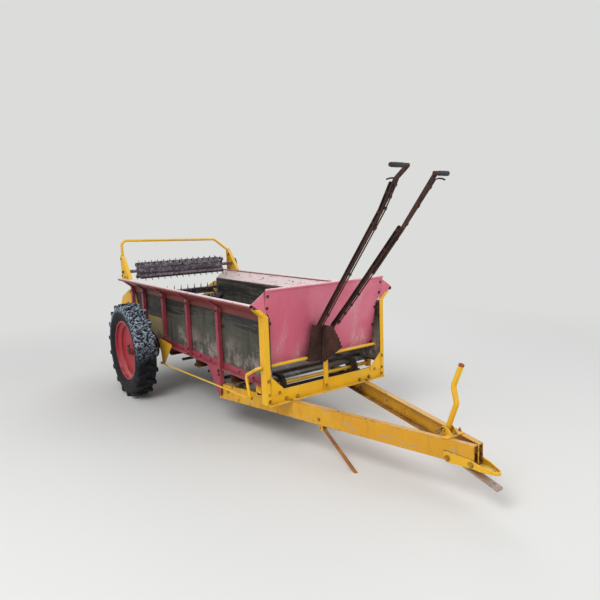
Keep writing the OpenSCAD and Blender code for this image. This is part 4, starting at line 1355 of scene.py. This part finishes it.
    def build(self) -> None:
        """Makes the bolts, nuts and heads."""
        for kind, name, finish, stations in (
                (HexBolts, "frame_bolts", YELLOW_BOLT, joined(self.frame_bolts())),
                (HexBolts, "box_bolts", BOLT, joined(self.box_bolts())),
                (HexBolts, "lever_bolts", BROWN, joined(self.lever_bolts())),
                (HexBolts, "hub_nuts", BOLT, self.hub_nuts()),
                (DomeHeads, "board_bolt_heads", BOLT, joined(self.board_heads()))):
            kind(name, finish, stations=stations).build()


@dataclass
class Welds:
    """Weld beads along the seams of the frame.

    Args:
        step: distance of one drop from the next, in millimetres.
        both: start, end and facing of the left side's seams, which the right side has too.
        single: the same for seams near the centre line.
        pipe: middle and radius of the bead round the hoop's end, on the left side.
        disc: place, out from the wheel's middle, and radius of the bead that joins rim and disc.
    """

    step: float = 6.5
    both: tuple[tuple[Point, Point, Point], ...] = (
        # The nose's plates on the arms
        ((1262, arm_face(1262, 5), 314), (1448, arm_face(1448, 5), 293), (ARM_SLOPE, 1, 0.4)),
        # Gussets on the posts, and the sill under them
        ((2, 575, 498), (2, 575, 612), (1, -1, 0)),
        ((-4, 452, 496), (-4, 574, 496), (1, 0, -1)),
        ((30, 425, 391), (-4, 425, 391), (0, 1, -1)),
        # The stand's bracket
        ((1238, 27, 397), (1278, 27, 397), (0, 1, 1)),
    )
    single: tuple[tuple[Point, Point, Point], ...] = (
        # The centre post's foot
        ((-4, -65, 434), (8, -65, 434), (0, -1, 0)),
        ((-4, -21, 434), (8, -21, 434), (0, 1, 0)),
        # A tack under the sill
        ((0, 46, 385), (1, 46, 385), (1, 0, 0)),
        # Where both arms meet
        ((1451, -2, 256), (1451, -2, 388), (1, 0, 0)),
    )
    pipe: tuple[Point, float] = ((-2965, 709, 1440), 19.0)
    disc: Pair = (13.0, 261.0)

    def drop(self, i: int, body: str, place: Vector, facing: Vector, along: Vector) -> Station:
        """One drop of a bead; the hand's rhythm changes its size."""
        return Station(body, place, facing, along, 0.8 + 0.35 * abs(math.sin(12.9898 * i)))

    def seam(self, start: Point, end: Point, facing: Point) -> list[Station]:
        """Drops from one point to another.

        Args:
            start: first drop, in millimetres.
            end: last drop.
            facing: where they look.

        Returns:
            One station for each drop.
        """
        a, b = at(*start), at(*end)
        count = max(2, round((b - a).length / (self.step * MM)))
        along, look = (b - a).normalized(), Vector(facing).normalized()
        return [self.drop(i, "root", a.lerp(b, i / count), look, along) for i in range(count + 1)]

    def ring(self, middle: Point, radius: float, side: Side, body: str) -> list[Station]:
        """Drops round a circle that looks to a side.

        Args:
            middle: its middle, in millimetres.
            radius: its radius.
            side: where it looks.
            body: the body it rides on.

        Returns:
            One station for each drop.
        """
        x, y, z = middle
        count = round(2 * math.pi * radius / self.step)
        return [self.drop(i, body, at(x + radius * math.cos(a), y, z + radius * math.sin(a)),
                          Vector((0, side.value, 0)), Vector((-math.sin(a), 0, math.cos(a))))
                for i, a in enumerate(2 * math.pi * k / count for k in range(count))]

    def build(self) -> None:
        """Makes the frame's and the wheels' welds."""
        drops, discs = [], []
        out, radius = self.disc
        for side in Side:
            for seam in self.both:
                drops += self.seam(*[side.mirror(point) for point in seam])
            drops += self.ring(side.mirror(self.pipe[0]), self.pipe[1], side, "root")
            middle = (AXLE[0], side.value * (WHEEL_Y + out), AXLE[1])
            discs += self.ring(middle, radius, side, side.node("wheel"))
        for seam in self.single:
            drops += self.seam(*seam)
        WeldDrops("frame_welds", YELLOW, stations=drops).build()
        WeldDrops("rim_welds", RIM, stations=discs).build()


def arc(middle: Vector, radius: float, start: float, end: float) -> list[Vector]:
    """Points of an arc.

    Args:
        middle: its middle, X and Z in millimetres.
        radius: its radius.
        start: angle of its first point.
        end: angle of its last one.

    Returns:
        The points, in steps fine enough for a chain to follow.
    """
    steps = 40
    angles = [start + k * (end - start) / steps for k in range(steps + 1)]
    return [middle + radius * Vector((math.cos(a), math.sin(a))) for a in angles]


def loop(a: Pair, ra: float, b: Pair, rb: float, y: float, pitch: float) -> list[Station]:
    """Stations of a chain's links round two wheels of the upright plane.

    Args:
        a: middle of the first wheel, X and Z in millimetres.
        ra: its radius.
        b: middle of the second wheel.
        rb: its radius.
        y: place of the chain.
        pitch: wanted length of a link; the real one closes the loop.

    Returns:
        One station for each link.
    """
    first, second = Vector(a), Vector(b)
    bearing = math.atan2(b[1] - a[1], b[0] - a[0])
    leave = math.acos((ra - rb) / (second - first).length)
    path = arc(first, ra, bearing + leave, bearing + 2 * math.pi - leave)
    path += arc(second, rb, bearing - leave, bearing + leave)
    lengths = [(path[(i + 1) % len(path)] - path[i]).length for i in range(len(path))]
    total, count = sum(lengths), round(sum(lengths) / pitch)
    made, i, done = [], 0, 0.0
    for k in range(count):
        want = (k + 0.5) * total / count
        while done + lengths[i] < want:
            done += lengths[i]
            i += 1
        start, end = path[i], path[(i + 1) % len(path)]
        spot = start.lerp(end, (want - done) / lengths[i])
        along = (end - start).normalized()
        made.append(Station("root", at(spot.x, y, spot.y), Vector((along.y, 0, -along.x)),
                            Vector((along.x, 0, along.y))))
    return made


@dataclass
class Chains:
    """Drive chains beside the box and the apron's chains and slats.

    Args:
        pitch: link length of the drive chains, in millimetres.
        axle_wheel: radius of the chain on the axle's sprocket, and its teeth.
        small_wheel: the same for the sprockets of the beaters and the rotor.
        foot: how far inside the chain a tooth starts.
        front: place of the apron's front shaft.
        rear: place of its rear shaft.
        level: height of both shafts.
        radius: radius of the apron's chain on its sprockets.
        apron_y: place of the apron's chains, from the centre line.
        apron_teeth: teeth of its sprockets.
        apron_pitch: link length of the apron's chains.
        slat_pitch: distance of one slat from the next.
        slat: width, height and wall of a slat.
        sunk: how far a slat's foot lies inside the chain, on the run and on a sprocket.
        ends: what is left free of slats behind the front shaft and ahead of the rear one.
        turned: turn from upright of the slat on the front sprockets and of the one on the rear ones.
        half: half the length of a slat.
    """

    pitch: float = 15.875
    axle_wheel: tuple[float, int] = (118.0, 46)
    small_wheel: tuple[float, int] = (64.0, 24)
    foot: float = 10.0
    front: ClassVar[float] = -175.0
    rear: ClassVar[float] = -3020.0
    level: ClassVar[float] = 485.0
    radius: float = 72.0
    apron_y: float = 380.0
    apron_teeth: int = 9
    apron_pitch: float = 50.0
    slat_pitch: float = 300.0
    slat: Point = (30.0, 22.0, 4.0)
    sunk: Pair = (12.0, 7.0)
    ends: Pair = (80.0, 60.0)
    turned: Pair = (125.0, -110.0)
    half: float = 544.0

    def teeth(self, centre: Pair, chain: float, y: float, count: int, body: str) -> list[Station]:
        """Stations of a sprocket's teeth.

        Args:
            centre: its axis, X and Z in millimetres.
            chain: radius of the chain on it.
            y: its place across the machine.
            count: how many teeth it has.
            body: the body it rides on.

        Returns:
            One station for each tooth.
        """
        made = []
        for a in (2 * math.pi * k / count for k in range(count)):
            ray = Vector((math.cos(a), 0, math.sin(a)))
            place = at(centre[0], y, centre[1]) + ray * (chain - self.foot) * MM
            made.append(Station(body, place, ray, Vector((0, 1, 0))))
        return made

    def drive(self) -> None:
        """Drive chains and their sprockets' teeth."""
        (big, big_teeth), (small, small_teeth) = self.axle_wheel, self.small_wheel
        links = loop(AXLE, big, MAIN, small, -DRIVE_Y, self.pitch)
        links += loop(MAIN, small, SPREAD, small, DRIVE_Y, self.pitch)
        links += loop(MAIN, small, UPPER, small, UPPER_DRIVE_Y, self.pitch)
        ChainLinks(stations=links, stands_for=("drive_chains",)).build()
        teeth = self.teeth(AXLE, big, -DRIVE_Y, big_teeth, "root")
        for axis, y, body in ((MAIN, -DRIVE_Y, MAIN_BEATER.body), (MAIN, DRIVE_Y, MAIN_BEATER.body),
                              (MAIN, UPPER_DRIVE_Y, MAIN_BEATER.body),
                              (UPPER, UPPER_DRIVE_Y, UPPER_BEATER.body), (SPREAD, DRIVE_Y, "spreader_body")):
            teeth += self.teeth(axis, small, y, small_teeth, body)
        Teeth(stations=teeth).build()

    def apron(self) -> None:
        """The apron's chains, and the teeth that carry them."""
        front, rear = (self.front, self.level), (self.rear, self.level)
        links, teeth = [], []
        for y in (-self.apron_y, self.apron_y):
            links += loop(front, self.radius, rear, self.radius, y, self.apron_pitch)
            for axis in (front, rear):
                teeth += self.teeth(axis, self.radius, y, self.apron_teeth, "root")
        link = {"Pitch": self.apron_pitch * MM, "Bar height": 0.015, "Bar thickness": 0.004, "Width": 0.026}
        ChainLinks("apron_chain_links", DARK, link, links, ("apron",)).build()
        Teeth("apron_sprocket_teeth", DARK, {"Tooth height": 0.015, "Tooth radius": 0.011}, teeth).build()

    def slats(self) -> None:
        """Pressed slats across the apron, open towards the chain."""
        wide, high, wall = self.slat
        side, within = wide / 2, wide / 2 - wall
        profile = [(-side, 0), (-side, high), (side, high), (side, 0), (within, 0), (within, high - wall),
                   (-within, high - wall), (-within, 0)]
        places = []
        x = self.front - self.ends[0]
        while x > self.rear + self.ends[1]:
            places += [(x, 0.0, self.sunk[0]), (x, 180.0, self.sunk[0])]
            x -= self.slat_pitch
        places += [(x, turn, self.sunk[1]) for x, turn in zip((self.front, self.rear), self.turned)]
        bm = bmesh.new()
        for x, degrees, sunk in places:
            turn, lift = math.radians(degrees), self.radius - sunk
            middle = (x + lift * math.sin(turn), self.level + lift * math.cos(turn))
            bar(bm, profile, middle, turn, -self.half, self.half)
        piece("apron_slats", finished(bm, "apron_slats", 1.2, False), "root", DARK, ("apron",))

    def build(self) -> None:
        """Makes the chains, teeth and slats."""
        self.drive()
        self.apron()
        self.slats()


@dataclass(frozen=True)
class Beater:
    """A rotor with toothed angle-iron bars on arms round a core tube, which replaces its plain solid.

    Args:
        node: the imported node.
        body: the body it rides on.
        centre: its axis, X and Z in millimetres.
        reach: radius over the teeth.
        bars: how many bars it has.
        bar: radius over the bars.
        core: radius of the core tube.
        teeth: how many teeth a bar has.
        turn: turn of the first bar from upright, in degrees.
        shaft: right and left end of the shaft.
        sprockets: places of its sprockets.
    """

    node: str
    body: str
    centre: Pair
    reach: float
    bars: int
    bar: float
    core: float
    teeth: int
    turn: float
    shaft: Pair
    sprockets: tuple[float, ...]

    half: ClassVar[float] = 546.0
    shaft_radius: ClassVar[float] = 19.0
    hub_radius: ClassVar[float] = 31.0
    hub_half: ClassVar[float] = 11.0
    sprocket_radius: ClassVar[float] = 57.0
    sprocket_half: ClassVar[float] = 4.0
    leg: ClassVar[float] = 36.0
    wall: ClassVar[float] = 6.0
    # An arm is as thick as this, starts so far inside the core and narrows by so much
    arm_thick: ClassVar[float] = 8.0
    arm_sunk: ClassVar[float] = 8.0
    arm_taper: ClassVar[float] = 5.0
    # A tooth starts this far inside its bar
    tooth_sunk: ClassVar[float] = 4.0

    def rod(self, bm: Draft, radius: float, start: float, end: float, sides: int = 32) -> None:
        """Round rod along the axis, its ends taken down.

        Args:
            bm: the mesh that takes it.
            radius: its radius, in millimetres.
            start: place of its right end.
            end: place of its left end.
            sides: faces round it.
        """
        bite = min(2.0, (end - start) / 4)
        line = [at(self.centre[0], y, self.centre[1]) for y in (start, start + bite, end - bite, end)]
        sweep(bm, line, [r * MM for r in (radius - 2, radius, radius, radius - 2)], sides)

    def build(self) -> None:
        """Makes the rotor, and its teeth as tines of their own."""
        bm = bmesh.new()
        self.rod(bm, self.shaft_radius, *self.shaft)
        self.rod(bm, self.core, -self.half, self.half, 40)
        for y in self.sprockets:
            self.rod(bm, self.sprocket_radius, y - self.sprocket_half, y + self.sprocket_half, 50)
            self.rod(bm, self.hub_radius, y - self.hub_half, y + self.hub_half)
        half, wall, top = self.leg / 2, self.wall, self.bar
        angle_iron = [(-half, top), (half, top), (half, top - wall), (wall - half, top - wall),
                      (wall - half, top - self.leg), (-half, top - self.leg)]
        foot = self.core - self.arm_sunk
        arm = [(-half, foot), (half, foot), (half - self.arm_taper, top - wall), (wall - half, top - wall)]
        tines = []
        for i in range(self.bars):
            angle = math.radians(self.turn + 360 * i / self.bars)
            bar(bm, angle_iron, self.centre, angle, -self.half, self.half)
            # Arms near both ends and in the middle
            for y in (4 - self.half, -self.arm_thick / 2, self.half - 4 - self.arm_thick):
                bar(bm, arm, self.centre, angle, y, y + self.arm_thick)
            out = Vector((math.sin(angle), 0, math.cos(angle)))
            along = Vector((math.cos(angle), 0, -math.sin(angle)))
            # Every second bar's teeth stand in the gaps of the others'
            for j in range(self.teeth):
                y = -self.half + (j + 0.3 + 0.4 * (i % 2)) * 2 * self.half / self.teeth
                root = at(self.centre[0], y, self.centre[1]) + out * (self.bar - self.tooth_sunk) * MM
                tines.append(Station(self.body, root, out, along))
        piece(f"{self.node}_rotor", finished(bm, self.node, 1.0), self.body, CRUSTED, (self.node,))
        teeth = Tines(f"{self.node}_tines", stations=tines)
        teeth.sizes["Height"] = (self.reach - self.bar + 3) * MM
        teeth.build()


MAIN_BEATER = Beater("main_beater", "main_beater_body", MAIN, reach=220, bars=6, bar=160, core=60, teeth=12,
                     turn=8, shaft=(-659, 757), sprockets=(-DRIVE_Y, DRIVE_Y, UPPER_DRIVE_Y))
UPPER_BEATER = Beater("upper_beater", "upper_beater_body", UPPER, reach=160, bars=4, bar=112, core=52,
                      teeth=14, turn=45, shaft=(-729.3, 757), sprockets=(UPPER_DRIVE_Y,))


@dataclass
class LeverTrim:
    """Grips, triggers and latch rods of the two hand levers.

    Args:
        rod: radius of a latch rod, in millimetres.
        clip: radius and half length of a clip that holds the rod.
        clips: places of the clips on each straight, as shares of it.
        trigger: radius of a trigger's strap and its thinness.
        lift: how far a trigger stands off the rod's end.
        sleeve: the grip's sleeve: share of the grip's reach, and radius there.
    """

    rod: float = 5.0
    clip: float = 9.0
    clips: tuple[float, ...] = (0.12, 0.5, 0.88)
    trigger: Pair = (6.0, 0.6)
    lift: float = 22.0
    sleeve: tuple[Pair, ...] = ((0.26, 14.2), (0.3, 16.6), (0.5, 16.0), (0.72, 16.8), (0.9, 16.2),
                                (0.985, 16.4), (1.02, 13.5))

    def trim(self, name: str, body: str, y: float, points: list[Pair], top: Pair, grip: float) -> None:
        """Latch rod, its clips, the trigger by the grip, and the grip's sleeve.

        Args:
            name: start of the pieces' names.
            body: the lever's body.
            y: place of the lever.
            points: line of the latch rod, in shares of the lever's height.
            top: end of the lever.
            grip: reach of the grip, to the left where it is above zero.
        """
        bm = bmesh.new()
        line = [at(*lever_point(x, y, z)) for x, z in points]
        sweep(bm, line, self.rod * MM, 10)
        for start, end in zip(line, line[1:]):
            along = (end - start).normalized() * self.clip * MM
            for spot in (start.lerp(end, share) for share in self.clips):
                sweep(bm, [spot - along, spot + along], self.clip * MM, 10)
        head = line[-1]
        reach = Vector((0, grip * 0.75 * MM, 0))
        lift = (line[-1] - line[-2]).normalized() * self.lift * MM
        strap, thin = self.trigger
        sweep(bm, [head - lift * 0.4, head + lift * 0.6, head + lift + reach * 0.25,
                   head + lift * 0.9 + reach * 0.7, head + lift * 0.5 + reach], strap * MM, 10, thin)
        piece(f"{name}_latch", finished(bm, f"{name}_latch"), body, BROWN)
        bm = bmesh.new()
        end = at(*lever_point(top[0], y, top[1]))
        sweep(bm, [end + Vector((0, grip * share * MM, 0)) for share, _ in self.sleeve],
              [radius * MM for _, radius in self.sleeve], 20)
        piece(f"{name}_grip", finished(bm, f"{name}_grip"), body, GRIP)

    def build(self) -> None:
        """Makes both levers' trim."""
        self.trim("lever_right", "drive_lever", -106, [(0.0741, 0.1825), (0.5755, 0.7997), (0.6626, 0.9362)],
                  (0.7228, 1.0), -140)
        self.trim("lever_left", "apron_lever", 20, [(0.105, 0.189), (0.2446, 0.3291), (0.6135, 0.7156),
                                                    (0.8, 0.926)], (0.8049, 0.96), 120)


@dataclass
class Hubs:
    """Dust caps and valve stems of the wheels.

    Args:
        cap: outline of a dust cap: place out from the wheel's middle, and radius, in millimetres.
        stem: outline of a valve stem: distance from the axle, place out from the wheel's middle, and radius.
        stem_ray: where the stem points, along X and Z.
    """

    cap: tuple[Pair, ...] = ((28, 30.24), (31, 30.24), (33, 27), (42, 25.92), (47, 22.14), (50, 13.5),
                             (51, 3.24))
    stem: tuple[Point, ...] = ((258, 17, 5.5), (250, 17, 5.5), (246, 18, 3.6), (238, 22, 3.6), (232, 29, 3.6),
                               (230, 33, 4.6), (226, 43, 4.6), (225, 46, 3.0))
    stem_ray: Pair = (0.3, 0.954)

    def build(self) -> None:
        """Makes both wheels' trim."""
        for side in Side:
            cap = [(at(AXLE[0], side.value * (WHEEL_Y + out), AXLE[1]), radius) for out, radius in self.cap]
            stem = [(at(AXLE[0] + self.stem_ray[0] * far, side.value * (WHEEL_Y + out),
                        AXLE[1] + self.stem_ray[1] * far), radius) for far, out, radius in self.stem]
            for name, line, sides, finish in (("hub_cap", cap, 28, GRIME_AND_SHADE), ("valve_stem", stem, 12, GRIP)):
                bm = bmesh.new()
                sweep(bm, [place for place, _ in line], [radius * MM for _, radius in line], sides)
                piece(side.node(name), finished(bm, name), side.node("wheel"), finish)


@dataclass
class StandTrim:
    """Hairpin of the tongue stand's pin, the stand's rusted end, and a lug on the far arm.

    Args:
        eye: middle of the hairpin's eye, X and Z in millimetres.
        eye_radius: radius of the eye.
        wire: radius of its wire.
        hang: the hairpin's leg from the eye.
        across: its other leg, through the pin.
        end: middle of the stand's end, and its top.
        end_line: the rusted end: share of its length, and radius there.
        lug: outline of the lug, X and Z.
        lug_thick: thickness of the lug.
        lug_in: how far its outer face lies inside the arm's.
    """

    eye: Pair = (1205.0, 421.0)
    eye_radius: float = 13.0
    wire: float = 2.6
    hang: tuple[Point, ...] = ((1195, -36, 412), (1180, -36.5, 397), (1166, -37, 385), (1150, -38, 377))
    across: tuple[Point, ...] = ((1207, -36, 436), (1192, -40, 424), (1172, -42, 408), (1155, -40, 398))
    end: tuple[Point, Point] = ((1315.5, 0, 861), (1319.5, 0, 871))
    end_line: tuple[Pair, ...] = ((0, 18.3), (0.3, 18.9), (0.9, 18.7), (1, 15))
    lug: tuple[Pair, ...] = ((1232, 390), (1262, 390), (1256, 412), (1247, 420), (1238, 412))
    lug_thick: float = 8.0
    lug_in: float = 12.0

    def build(self) -> None:
        """Makes the trim."""
        bm = bmesh.new()
        eye = []
        for a in (math.radians(-60 + 300 * k / 16) for k in range(17)):
            eye.append(at(self.eye[0] + self.eye_radius * math.cos(a), self.hang[0][1],
                          self.eye[1] + self.eye_radius * math.sin(a)))
        sweep(bm, eye + [at(*point) for point in self.hang], self.wire * MM, 8)
        sweep(bm, [at(*point) for point in self.across], self.wire * MM, 8)
        piece("stand_hairpin", finished(bm, "stand_hairpin"), "tongue_stand_body", STEEL)
        bm = bmesh.new()
        base, tip = (at(*point) for point in self.end)
        line = [base.lerp(tip, share) for share, _ in self.end_line]
        sweep(bm, line, [radius * MM for _, radius in self.end_line], 24)
        piece("stand_rusted_end", finished(bm, "stand_rusted_end"), "tongue_stand_body", RUST_RED)
        bm = bmesh.new()
        prism(bm, *[[at(x, arm_face(x, y), z) for x, z in self.lug]
                    for y in (-self.lug_in - self.lug_thick, -self.lug_in)])
        piece("arm_lug", finished(bm, "arm_lug", 1.5), "root", ARM_YELLOW)


def main() -> None:
    """Builds the stage, dresses the nodes and adds the small pieces."""
    logging.basicConfig(level=logging.INFO, format="%(message)s")
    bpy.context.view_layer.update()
    Stage().build()
    Dresser().build()
    for part in (Fasteners(), Welds(), Chains(), MAIN_BEATER, UPPER_BEATER, LeverTrim(), Hubs(), StandTrim()):
        part.build()


if __name__ == "__main__":
    main()
